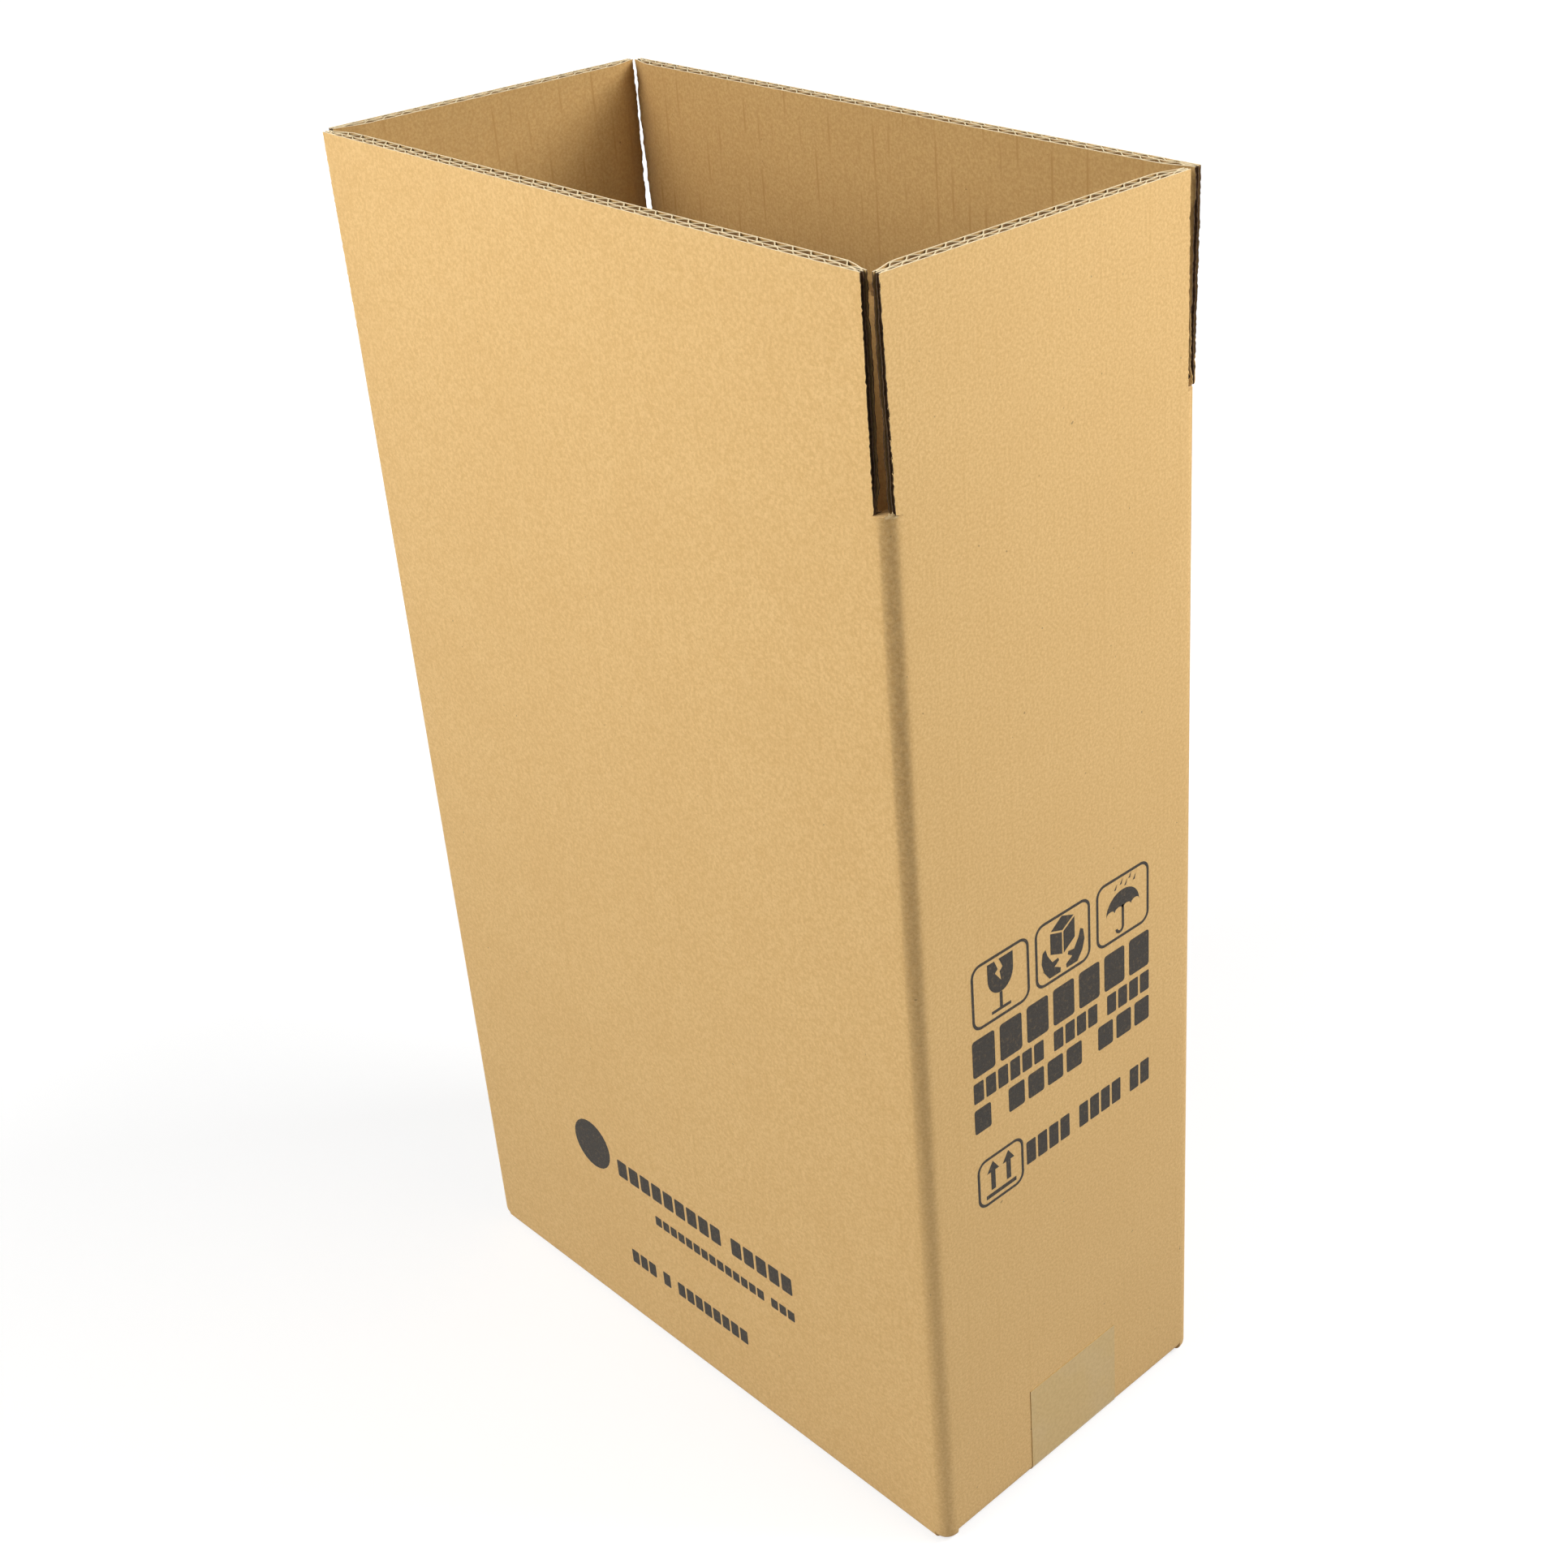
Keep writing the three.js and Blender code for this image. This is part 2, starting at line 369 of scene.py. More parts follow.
@dataclass(frozen=True)
class Kraft:
    """Kraft paper on board: a fibrous sheet over flutes that telegraph faintly through it."""

    name: str
    base: str
    dark: str
    light: str
    cut_edge: str = "e6d3ac"
    speck: str = "5d4324"
    # The folds' darker tone: painted shade, with some wear.
    fold_shade_tone: str = "73501f"
    flute_pitch: float = 7.7 * MM
    washboard: float = 0.02
    streaks: float = 0.22
    # How much the upright folds are darkened: painted shade, with some wear.
    fold_shade_and_wear: float = 0.0
    roughness: float = 0.82
    roughness_spread: float = 0.08
    specular: float = 0.3
    sheen: float = 0.08
    edge_level: float = 1.0
    edge_rise: float = 0.15 * MM
    fold_start: float = 206.9 * MM
    fold_end: float = 208.3 * MM
    fold_top: float = 415.6 * MM
    cloud_scale: float = 26.0
    mottle_scale: float = 950.0
    grain_scale: float = 2600.0
    fibre_scale: float = 1100.0
    speck_scale: float = 520.0
    fold_patch_scale: float = 500.0

    def make(self) -> bpy.types.Material:
        """Build the paper's nodes.

        Returns:
            The finished material.
        """
        material, graph, shader = new_material(self.name)
        place = graph.node("ShaderNodeTexCoord").outputs["Object"]
        x, y, z = graph.split(place)
        along = graph.sum(x, y)
        mottled = graph.noise(place, self.mottle_scale, 4.0, 0.7)
        across = graph.join(graph.times(along, 3.0), graph.times(y, 3.0), graph.times(z, 0.55))
        upright = graph.join(graph.times(along, 0.6), graph.times(y, 0.6), graph.times(z, 3.2))
        fibres = graph.noise(across, self.fibre_scale, 2.0, 0.7)
        threads = graph.noise(upright, self.fibre_scale, 2.0, 0.7)
        hairs = graph.maths("MAXIMUM", fibres, threads)
        gaps = graph.maths("MINIMUM", fibres, threads)
        ridge = graph.maths("SINE", graph.times(along, 2 * math.pi / self.flute_pitch))

        tone = self.fibre_tone(graph, mottled, hairs, gaps)
        tone = self.speckle(graph, tone, place)
        tone = self.show_flutes(graph, tone, ridge, (along, z))
        tone = self.shade_and_wear_folds(graph, tone, (x, y, z))
        edge = graph.ramp(z, self.edge_level, self.edge_level + self.edge_rise)
        tone = graph.blend_colour(edge, tone, colour(self.cut_edge))
        graph.feed(shader.inputs["Base Color"], tone)

        smooth, rough = (self.roughness + sign * self.roughness_spread for sign in (-1, 1))
        graph.feed(shader.inputs["Roughness"], graph.ramp(mottled, 0.3, 0.7, smooth, rough))
        shader.inputs["Specular IOR Level"].default_value = self.specular
        shader.inputs["Sheen Weight"].default_value = self.sheen
        shader.inputs["Sheen Roughness"].default_value = 0.6

        height = graph.sum(
            graph.times(graph.noise(place, self.grain_scale, 2.0, 0.6), 0.06),
            graph.times(mottled, 0.05),
            graph.times(hairs, 0.06),
            graph.times(ridge, self.washboard),
        )
        graph.bump(shader, height, 0.55, 1.0 * MM)
        return material

    def fibre_tone(
        self,
        graph: Graph,
        mottled: bpy.types.NodeSocket,
        hairs: bpy.types.NodeSocket,
        gaps: bpy.types.NodeSocket,
    ) -> bpy.types.NodeSocket:
        """The paper's colour, mottled and crossed by pale fibres with dark gaps between them.

        Args:
            graph: the material's nodes.
            mottled: the paper's blotches, from 0 to 1.
            hairs: how much of a fibre there is, from 0 to 1.
            gaps: how little of a gap there is, from 0 to 1.

        Returns:
            The colour.
        """
        dark, light = colour(self.dark), colour(self.light)
        tone = graph.blend_colour(graph.ramp(mottled, 0.32, 0.7), dark, light)
        tone = graph.blend_colour(0.35, tone, colour(self.base))
        tone = graph.blend_colour(graph.ramp(hairs, 0.6, 0.76, 0.0, 0.55), tone, light)
        return graph.blend_colour(graph.ramp(gaps, 0.4, 0.24, 0.0, 0.5), tone, dark)

    def speckle(
        self, graph: Graph, tone: bpy.types.NodeSocket, place: bpy.types.NodeSocket
    ) -> bpy.types.NodeSocket:
        """Add small dark specks and wide faint clouds.

        Args:
            graph: the material's nodes.
            tone: the paper's colour so far.
            place: the surface's position.

        Returns:
            The paper's colour with its specks and clouds.
        """
        specks = graph.noise(place, self.speck_scale, 1.0, 0.4)
        clouds = graph.noise(place, self.cloud_scale, 3.0)
        tone = graph.blend_colour(
            graph.ramp(specks, 0.79, 0.83, 0.0, 0.55), tone, colour(self.speck)
        )
        return graph.blend_colour(graph.ramp(clouds, 0.35, 0.65, 0.0, 0.1), tone, colour(self.dark))

    def show_flutes(
        self,
        graph: Graph,
        tone: bpy.types.NodeSocket,
        ridge: bpy.types.NodeSocket,
        place: tuple[bpy.types.NodeSocket, ...],
    ) -> bpy.types.NodeSocket:
        """Draw broken dark streaks up the glue lines of the flutes.

        Args:
            graph: the material's nodes.
            tone: the paper's colour so far.
            ridge: the flutes' wave, from -1 to 1.
            place: how far along the panels and how high the surface is.

        Returns:
            The paper's colour with its streaks.
        """
        along, z = place
        streak = graph.noise(graph.join(graph.times(along, 320.0), 0.0, graph.times(z, 45.0)), 1.0)
        share = graph.times(
            graph.ramp(ridge, 0.86, 1.0), graph.ramp(streak, 0.45, 0.65, 0.0, self.streaks)
        )
        return graph.blend_colour(share, tone, colour(self.dark))

    def shade_and_wear_folds(
        self,
        graph: Graph,
        tone: bpy.types.NodeSocket,
        place: tuple[bpy.types.NodeSocket, ...],
    ) -> bpy.types.NodeSocket:
        """Darken the upright folds a little: painted shade along the folds, with some wear where the
        score has broken the paper's surface.

        Args:
            graph: the material's nodes.
            tone: the paper's colour so far.
            place: the three parts of the surface's position.

        Returns:
            The paper's colour with its painted fold shade and wear.
        """
        x, y, z = place
        # Painted shade along the fold arcs, with some wear, stronger higher up and stopping below the
        # slots.
        reach = graph.sum(graph.maths("ABSOLUTE", x), graph.maths("ABSOLUTE", y))
        on_fold = graph.ramp(reach, self.fold_start, self.fold_end)
        below_slot = graph.maths("LESS_THAN", z, self.fold_top)
        higher = graph.ramp(z, 60 * MM, 330 * MM, 0.0, self.fold_shade_and_wear)
        fold_patches = graph.noise(graph.join(x, y, z), self.fold_patch_scale, 3.0, 0.7)
        share = graph.times(on_fold, below_slot, higher, graph.ramp(fold_patches, 0.3, 0.7, 0.6, 1.2))
        return graph.blend_colour(share, tone, colour(self.fold_shade_tone))


@dataclass(frozen=True)
class Ink:
    """Dark printing ink that has sunk into the paper and let a little of it show through."""

    name: str = "printing_ink"
    base: str = "35302a"
    thin: str = "6a5840"

    def make(self) -> bpy.types.Material:
        """Build the ink's nodes.

        Returns:
            The finished material.
        """
        material, graph, shader = new_material(self.name)
        place = graph.node("ShaderNodeTexCoord").outputs["Object"]
        patchy = graph.noise(place, 700.0, 3.0, 0.7)
        grain = graph.noise(place, 1800.0, 2.0, 0.6)
        tone = graph.blend_colour(
            graph.ramp(patchy, 0.5, 0.78, 0.0, 0.7), colour(self.base), colour(self.thin)
        )
        graph.feed(shader.inputs["Base Color"], tone)
        graph.feed(shader.inputs["Roughness"], graph.ramp(grain, 0.3, 0.7, 0.55, 0.8))
        shader.inputs["Specular IOR Level"].default_value = 0.3
        graph.bump(shader, grain, 0.4, 0.1 * MM)
        return material


@dataclass(frozen=True)
class TapeFilm:
    """Clear sealing tape over kraft: the paper shows through a smooth, slightly rippled film."""

    name: str = "sealing_tape_film"
    base: str = "ccac6c"
    wet: str = "c3a160"

    def make(self) -> bpy.types.Material:
        """Build the film's nodes.

        Returns:
            The finished material.
        """
        material, graph, shader = new_material(self.name)
        place = graph.node("ShaderNodeTexCoord").outputs["Object"]
        mottled = graph.noise(place, 700.0, 3.0, 0.6)
        ripple = graph.noise(place, 60.0, 2.0, 0.5)
        tone = graph.blend_colour(
            graph.ramp(mottled, 0.35, 0.68), colour(self.base), colour(self.wet)
        )
        graph.feed(shader.inputs["Base Color"], tone)
        graph.feed(shader.inputs["Roughness"], graph.ramp(ripple, 0.35, 0.65, 0.32, 0.45))
        shader.inputs["Coat Weight"].default_value = 0.15
        shader.inputs["Coat Roughness"].default_value = 0.25
        graph.bump(shader, ripple, 0.3, 0.6 * MM)
        return material


@dataclass
class Finishes:
    """Every material of the carton, made once."""

    sizes: Sizes
    outside: bpy.types.Material = field(init=False)
    inside: bpy.types.Material = field(init=False)
    middle: bpy.types.Material = field(init=False)
    medium: bpy.types.Material = field(init=False)
    cut: bpy.types.Material = field(init=False)
    torn: bpy.types.Material = field(init=False)
    ink: bpy.types.Material = field(init=False)
    tape: bpy.types.Material = field(init=False)

    def __post_init__(self) -> None:
        """Make the materials."""
        edge = self.sizes.rim - 0.3 * MM
        # The outside's upright folds are darkened: painted shade, with some wear.
        self.outside = Kraft(
            "kraft_outside", "ddb576", "cea362", "eac689", edge_level=edge, fold_shade_and_wear=0.3
        ).make()
        self.inside = Kraft(
            "kraft_inside", "bb975d", "aa834a", "c8a66c", washboard=0.06, edge_level=edge, streaks=0.85
        ).make()
        self.middle = Kraft("kraft_middle", "b8925f", "a57f4e", "c9a673", edge_level=edge).make()
        self.medium = Kraft(
            "fluted_medium", "86663c", "6b4f2b", "9c794a", cut_edge="d3c198", edge_level=edge
        ).make()
        # Dark paper for the slot ends: the knife's crushed edge and painted shade in the slot's gap.
        self.cut = Kraft(
            "slot_cut_and_shade", "463424", "261c13", "6b5238", specular=0.25, sheen=0.0, edge_level=edge
        ).make()
        self.torn = Kraft("torn_paper", "d8ba85", "bd9860", "e8cf9f", edge_level=edge).make()
        self.ink = Ink().make()
        self.tape = TapeFilm().make()


class PlyKind(Enum):
    """What a ply of the board is, from the outside in."""

    OUTER_LINER = "outer_liner"
    OUTER_MEDIUM = "outer_medium"
    MIDDLE_LINER = "middle_liner"
    INNER_MEDIUM = "inner_medium"
    INNER_LINER = "inner_liner"


@dataclass(frozen=True)
class Ply:
    """One sheet of the board: how deep it lies, and the wave that it makes."""

    kind: PlyKind
    depth: float
    wave: float
    pitch: float
    ragged: float

    @property
    def is_fluted(self) -> bool:
        """Whether this ply is one of the two fluted media."""
        return self.wave > 0


@dataclass(frozen=True)
class BoardMakeUp:
    """Double-wall board: a fine flute outside and a coarse flute inside."""

    paper: float = 0.35 * MM
    outer_flute: float = 2.05 * MM
    inner_flute: float = 2.9 * MM
    outer_pitch: float = 6.5 * MM
    inner_pitch: float = 7.7 * MM

    def plies(self) -> tuple[Ply, ...]:
        """The five sheets, from the outside in.

        Returns:
            One ply for each liner and medium.
        """
        half = self.paper / 2
        middle = self.paper + self.outer_flute
        inner = middle + self.paper + self.inner_flute
        outer_wave = (self.outer_flute - self.paper) / 2
        inner_wave = (self.inner_flute - self.paper) / 2
        return (
            Ply(PlyKind.OUTER_LINER, half, 0.0, 1.0, 0.7 * MM),
            Ply(
                PlyKind.OUTER_MEDIUM,
                self.paper + self.outer_flute / 2,
                outer_wave,
                self.outer_pitch,
                0.3 * MM,
            ),
            Ply(PlyKind.MIDDLE_LINER, middle + half, 0.0, 1.0, 0.5 * MM),
            Ply(
                PlyKind.INNER_MEDIUM,
                middle + self.paper + self.inner_flute / 2,
                inner_wave,
                self.inner_pitch,
                0.3 * MM,
            ),
            Ply(PlyKind.INNER_LINER, inner + half, 0.0, 1.0, 0.6 * MM),
        )


class PlyTree:
    """The Geometry Nodes tree that makes one ply of a flap.

    The ply is a sheet that runs along the crease (X) and up the flap (Z), with its depth along
    Y. It waves if it is a medium. It is squeezed flat towards the outer face at the slots, where
    the knife crushed it, and at the crease, where the score did. Its cut ends are ragged.
    """

    INPUTS = (
        "Half Width",
        "Left Lip",
        "Right Lip",
        "Low Lip",
        "Bottom",
        "Top",
        "Slot End",
        "Depth",
        "Face Depth",
        "Wave",
        "Pitch",
        "End Crush",
        "End Run",
        "Score Crush",
        "Score Run",
        "Ragged",
        "Seed",
        "Bunching",
    )
    LAST_ROW = 0.9999

    def __init__(self) -> None:
        """Build the tree."""
        self.tree = bpy.data.node_groups.new("board_ply", "GeometryNodeTree")
        face = self.tree.interface
        kinds = {"Columns": "NodeSocketInt", "Rows": "NodeSocketInt"}
        kinds |= dict.fromkeys(self.INPUTS, "NodeSocketFloat")
        kinds["Paper"] = "NodeSocketMaterial"
        self.sockets: dict[str, str] = {}
        for name, kind in kinds.items():
            made = face.new_socket(name, in_out="INPUT", socket_type=kind)
            self.sockets[name] = made.identifier
        face.new_socket("Sheet", in_out="OUTPUT", socket_type="NodeSocketGeometry")
        self._build(Graph(self.tree))

    def _build(self, graph: Graph) -> None:
        """Lay out the nodes.

        Args:
            graph: the tree under construction.
        """
        given = graph.node("NodeGroupInput").outputs
        grid = graph.node("GeometryNodeMeshGrid")
        grid.inputs["Size X"].default_value = 2.0
        grid.inputs["Size Y"].default_value = 1.0
        graph.feed(grid.inputs["Vertices X"], given["Columns"])
        graph.feed(grid.inputs["Vertices Y"], given["Rows"])

        start = graph.node("GeometryNodeInputPosition").outputs[0]
        u, v, _ = graph.split(start)
        v = graph.sum(v, 0.5)
        bunched = graph.maths("SINE", graph.times(u, math.pi / 2))
        even = graph.times(u, graph.maths("SUBTRACT", 1.0, given["Bunching"]))
        u = graph.sum(even, graph.times(bunched, given["Bunching"]))
        run_up = graph.maths("SUBTRACT", given["Top"], given["Bottom"])
        z = graph.sum(given["Bottom"], graph.times(v, run_up))

        above_slot = graph.maths("GREATER_THAN", z, given["Slot End"])
        taper = graph.ramp(z, given["Slot End"], given["Top"], given["Low Lip"], 1.0)
        is_right = graph.maths("GREATER_THAN", u, 0.0)
        lip = graph.sum(
            graph.times(given["Right Lip"], is_right),
            graph.times(given["Left Lip"], graph.maths("SUBTRACT", 1.0, is_right)),
        )
        reach = graph.sum(given["Half Width"], graph.times(lip, above_slot, taper))
        end_mask = graph.maths("GREATER_THAN", graph.maths("ABSOLUTE", u), self.LAST_ROW)
        seed = graph.times(given["Seed"], 7.31)
        jag = graph.noise(graph.join(seed, graph.times(z, 620.0), u), 1.0, 4.0, 0.75)
        jag = graph.times(graph.ramp(jag, 0.3, 0.7), given["Ragged"], end_mask, above_slot)
        x = graph.times(u, graph.maths("SUBTRACT", reach, jag))

        top_mask = graph.maths("GREATER_THAN", v, self.LAST_ROW)
        nick = graph.noise(graph.join(seed, graph.times(x, 500.0), 3.7), 1.0, 3.0, 0.7)
        z = graph.maths("SUBTRACT", z, graph.times(nick, given["Ragged"], 0.35, top_mask))

        from_end = graph.maths("SUBTRACT", reach, graph.maths("ABSOLUTE", x))
        end_keep = graph.ramp(from_end, 0.0, given["End Run"], given["End Crush"], 1.0)
        wander = graph.noise(graph.join(seed, graph.times(z, 130.0), 9.1), 1.0, 2.0)
        lost = graph.times(graph.maths("SUBTRACT", 1.0, end_keep), above_slot)
        lost = graph.times(lost, graph.ramp(wander, 0.3, 0.7, 0.88, 1.12))
        score_keep = graph.ramp(
            graph.maths("ABSOLUTE", z), 0.0, given["Score Run"], given["Score Crush"], 1.0
        )
        keep = graph.times(graph.maths("SUBTRACT", 1.0, lost), score_keep)

        turn = graph.maths("DIVIDE", graph.times(x, 2 * math.pi), given["Pitch"])
        wave = graph.times(graph.maths("SINE", turn), given["Wave"])
        behind = graph.maths("SUBTRACT", graph.sum(given["Depth"], wave), given["Face Depth"])
        y = graph.sum(given["Face Depth"], graph.times(behind, keep))

        move = graph.node("GeometryNodeSetPosition")
        graph.feed(move.inputs["Geometry"], grid.outputs["Mesh"])
        graph.feed(move.inputs["Position"], graph.join(x, y, z))
        real = graph.node("GeometryNodeRealizeInstances")
        graph.feed(real.inputs[0], move.outputs[0])
        paint = graph.node("GeometryNodeSetMaterial")
        graph.feed(paint.inputs["Geometry"], real.outputs[0])
        graph.feed(paint.inputs["Material"], given["Paper"])
        out = graph.node("NodeGroupOutput")
        graph.feed(out.inputs[0], paint.outputs[0])

    def bake(self, name: str, values: dict[str, object], paper: float) -> bpy.types.Mesh:
        """Run the tree with the given sizes and thicken the sheet.

        Args:
            name: what the mesh is called.
            values: the tree's inputs by name.
            paper: the sheet's thickness.

        Returns:
            A plain mesh with a real thickness.
        """
        carrier = bpy.data.objects.new(name, bpy.data.meshes.new(name))
        bpy.context.scene.collection.objects.link(carrier)
        nodes = carrier.modifiers.new("ply", "NODES")
        nodes.node_group = self.tree
        for given, value in values.items():
            nodes[self.sockets[given]] = value
        thick = carrier.modifiers.new("paper", "SOLIDIFY")
        thick.thickness = paper
        thick.offset = 0.0
        depsgraph = bpy.context.evaluated_depsgraph_get()
        mesh = bpy.data.meshes.new_from_object(carrier.evaluated_get(depsgraph))
        bpy.data.objects.remove(carrier)
        return mesh


def link(name: str, mesh: bpy.types.Mesh) -> bpy.types.Object:
    """Put a mesh into the scene as an object at the origin.

    Args:
        name: what the object is called.
        mesh: the mesh that it shows.

    Returns:
        The object.
    """
    made = bpy.data.objects.new(name, mesh)
    bpy.context.scene.collection.objects.link(made)
    return made


def joined(name: str, meshes: Iterable[bpy.types.Mesh], place: Matrix) -> bpy.types.Object:
    """Put several meshes, with their materials, into one object.

    Args:
        name: what the object is called.
        meshes: the meshes to join.
        place: the matrix that takes them to their place.

    Returns:
        The object, at the origin, with its place in its mesh.
    """
    whole = bmesh.new()
    papers: list[bpy.types.Material] = []
    for mesh in meshes:
        start = len(whole.faces)
        whole.from_mesh(mesh)
        whole.faces.ensure_lookup_table()
        for face in whole.faces[start:]:
            paper = mesh.materials[face.material_index]
            if paper not in papers:
                papers.append(paper)
            face.material_index = papers.index(paper)
    result = bpy.data.meshes.new(name)
    whole.to_mesh(result)
    whole.free()
    for paper in papers:
        result.materials.append(paper)
    result.transform(place)
    result.shade_smooth()
    result.set_sharp_from_angle(angle=SHARP_ANGLE)
    return link(name, result)


@dataclass
class TopFlap:
    """One top flap, from below its crease to the rim, as five plies of paper."""

    side: Side
    sizes: Sizes
    finishes: Finishes
    plies: PlyTree
    start: float
    left_lip: float
    right_lip: float
    make_up: BoardMakeUp = field(default_factory=BoardMakeUp)
    low_lip: float = 0.75
    end_crush: float = 0.47
    end_run: float = 12 * MM
    score_crush: float = 0.45
    score_run: float = 6 * MM
    row_step: float = 0.9 * MM
    liner_columns: int = 33
    liner_bunching: float = 0.96
    wave_points: int = 12
    medium_rows: int = 27
    medium_recess: float = 1.2 * MM
    # How far into the middle plies the slot ends' painted shade reaches.
    cut_reach: float = 4.0 * MM
    rim_reach: float = 1.5 * MM
    rim_lean: float = 0.4

    @property
    def crease(self) -> float:
        """The height of this flap's crease."""
        return self.sizes.long_crease if self.side.is_long else self.sizes.short_crease

    @property
    def half(self) -> float:
        """Half of the flap's width along the crease."""
        return self.sizes.long_flap_half if self.side.is_long else self.sizes.short_flap_half

    @property
    def place(self) -> Matrix:
        """From the flap's own frame, crease along X and depth along Y, to the carton's.

        Returns:
            The matrix that takes the flap to its place.
        """
        out = self.sizes.half_width if self.side.is_long else self.sizes.half_length
        turn = Matrix.Rotation(math.radians(self.side.value), 4, "Z")
        return turn @ Matrix.Translation((0.0, -out, self.crease))

    def paper_of(self, ply: Ply) -> bpy.types.Material:
        """The material of a ply.

        Args:
            ply: which ply it is.

        Returns:
            The paper that it is made of.
        """
        papers = {
            PlyKind.OUTER_LINER: self.finishes.outside,
            PlyKind.MIDDLE_LINER: self.finishes.middle,
            PlyKind.INNER_LINER: self.finishes.inside,
        }
        return papers.get(ply.kind, self.finishes.medium)

    def darken_cuts_and_slot_shade(self, sheet: bpy.types.Mesh, ply: Ply) -> None:
        """Give the ends of a ply, where the slotting knife went, a dark edge: partly the knife's
        crushed cut edge, partly painted shade of the slot's gap, which reaches deeper into the middle
        plies.

        Args:
            sheet: the ply's mesh, in the flap's own frame.
            ply: which ply it is.
        """
        sheet.materials.append(self.finishes.cut)
        dark = len(sheet.materials) - 1
        low = self.sizes.slot_top - self.crease
        is_skin = ply.kind in (PlyKind.OUTER_LINER, PlyKind.INNER_LINER)
        # The middle plies are painted dark further in: painted shade inside the slot's gap.
        depth = 0.0 if is_skin else self.cut_reach
        for sign in (-1, 1):
            end = max(v.co.x * sign for v in sheet.vertices if v.co.z > low)
            for face in sheet.polygons:
                inwards = end - face.center.x * sign
                is_rim = abs(face.normal.x) > self.rim_lean and inwards < self.rim_reach
                if face.center.z > low and (is_rim or inwards < depth):
                    face.material_index = dark

    def sheet(self, ply: Ply, number: int) -> bpy.types.Mesh:
        """Make one ply.

        Args:
            ply: which ply.
            number: its place in the stack, which also seeds its ragged ends.

        Returns:
            The ply's mesh in the flap's own frame.
        """
        height = self.sizes.rim - self.start
        waves = 2 * (self.half + max(self.left_lip, self.right_lip)) / ply.pitch
        columns = int(waves * self.wave_points) if ply.is_fluted else self.liner_columns
        rows = self.medium_rows if ply.is_fluted else int(height / self.row_step)
        recess = self.medium_recess if ply.is_fluted else 0.0
        values = {
            "Columns": columns,
            "Rows": rows,
            "Half Width": self.half,
            "Left Lip": max(0.0, self.left_lip - recess),
            "Right Lip": max(0.0, self.right_lip - recess),
            "Low Lip": self.low_lip,
            "Bottom": self.start - self.crease,
            "Top": self.sizes.rim - self.crease,
            "Slot End": self.sizes.slot_top - self.crease,
            "Depth": ply.depth,
            "Face Depth": self.make_up.paper / 2,
            "Wave": ply.wave,
            "Pitch": ply.pitch,
            "End Crush": self.end_crush,
            "End Run": self.end_run,
            "Score Crush": self.score_crush,
            "Score Run": self.score_run,
            "Ragged": ply.ragged,
            "Seed": float(number) + self.side.value / 13.0,
            "Bunching": 0.0 if ply.is_fluted else self.liner_bunching,
            "Paper": self.paper_of(ply),
        }
        name = f"{self.side.word}_{ply.kind.value}"
        sheet = self.plies.bake(name, values, self.make_up.paper)
        self.darken_cuts_and_slot_shade(sheet, ply)
        return sheet

    def build(self) -> bpy.types.Object:
        """Make the flap in its place, and hide the imported one.

        Returns:
            The finished piece.
        """
        sheets = [self.sheet(ply, number) for number, ply in enumerate(self.make_up.plies())]
        board = joined(f"{self.side.word}_flap_board", sheets, self.place)
        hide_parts(f"{self.side.word}_top_flap")
        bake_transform(board)
        return board


def angles(start: float, end: float, steps: int = 8) -> list[float]:
    """Angles in radians from start to end, given in degrees."""
    return [math.radians(start + (end - start) * step / steps) for step in range(steps + 1)]


def arc(centre: Point, radius: float, start: float, end: float, steps: int) -> list[Point]:
    """Points along an arc.

    Args:
        centre: the arc's centre.
        radius: its radius.
        start: the angle where it starts, in degrees.
        end: the angle where it ends, in degrees.
        steps: how many pieces it is cut into.

    Returns:
        One more point than there are steps.
    """
    return [
        (centre[0] + radius * math.cos(turn), centre[1] + radius * math.sin(turn))
        for turn in angles(start, end, steps)
    ]


def loft(levels: Sequence[tuple[Sequence[Point], float]], place: Matrix) -> bmesh.types.BMesh:
    """Flat outlines with as many corners each, joined up along Z.

    Args:
        levels: each outline with its height, from the lowest up.
        place: the matrix that takes it all to its place.

    Returns:
        A closed solid with its faces outwards.
    """
    solid = bmesh.new()
    rings = [[solid.verts.new((x, y, z)) for x, y in outline] for outline, z in levels]
    count = len(rings[0])
    for below, above in zip(rings, rings[1:]):
        for here in range(count):
            following = (here + 1) % count
            solid.faces.new((below[here], below[following], above[following], above[here]))
    solid.faces.new(list(reversed(rings[0])))
    solid.faces.new(rings[-1])
    solid.transform(place)
    bmesh.ops.recalc_face_normals(solid, faces=solid.faces)
    return solid


def prism(outline: Sequence[Point], low: float, high: float, place: Matrix) -> bmesh.types.BMesh:
    """A flat outline drawn up along Z.

    Args:
        outline: the outline's corners in order.
        low: where it starts.
        high: where it ends.
        place: the matrix that takes it to its place.

    Returns:
        A closed solid with its faces outwards.
    """
    return loft([(outline, low), (outline, high)], place)


def finished(
    name: str, solids: Iterable[bmesh.types.BMesh], material: bpy.types.Material
) -> bpy.types.Object:
    """Turn closed solids into one object with soft rounds and crisp edges.

    Args:
        name: what the object is called.
        solids: the closed solids, which are freed.
        material: the finish of them all.

    Returns:
        The object, at the origin.
    """
    whole = bmesh.new()
    for solid in solids:
        mesh = bpy.data.meshes.new(name)
        solid.to_mesh(mesh)
        solid.free()
        whole.from_mesh(mesh)
        bpy.data.meshes.remove(mesh)
    result = bpy.data.meshes.new(name)
    whole.to_mesh(result)
    whole.free()
    result.materials.append(material)
    result.shade_smooth()
    result.set_sharp_from_angle(angle=SHARP_ANGLE)
    return link(name, result)


UPRIGHT = Matrix.Identity(4)
ALONG_X = Matrix(((0, 0, 1, 0), (1, 0, 0, 0), (0, 1, 0, 0), (0, 0, 0, 1)))
ALONG_MINUS_Y = Matrix(((1, 0, 0, 0), (0, 0, -1, 0), (0, 1, 0, 0), (0, 0, 0, 1)))


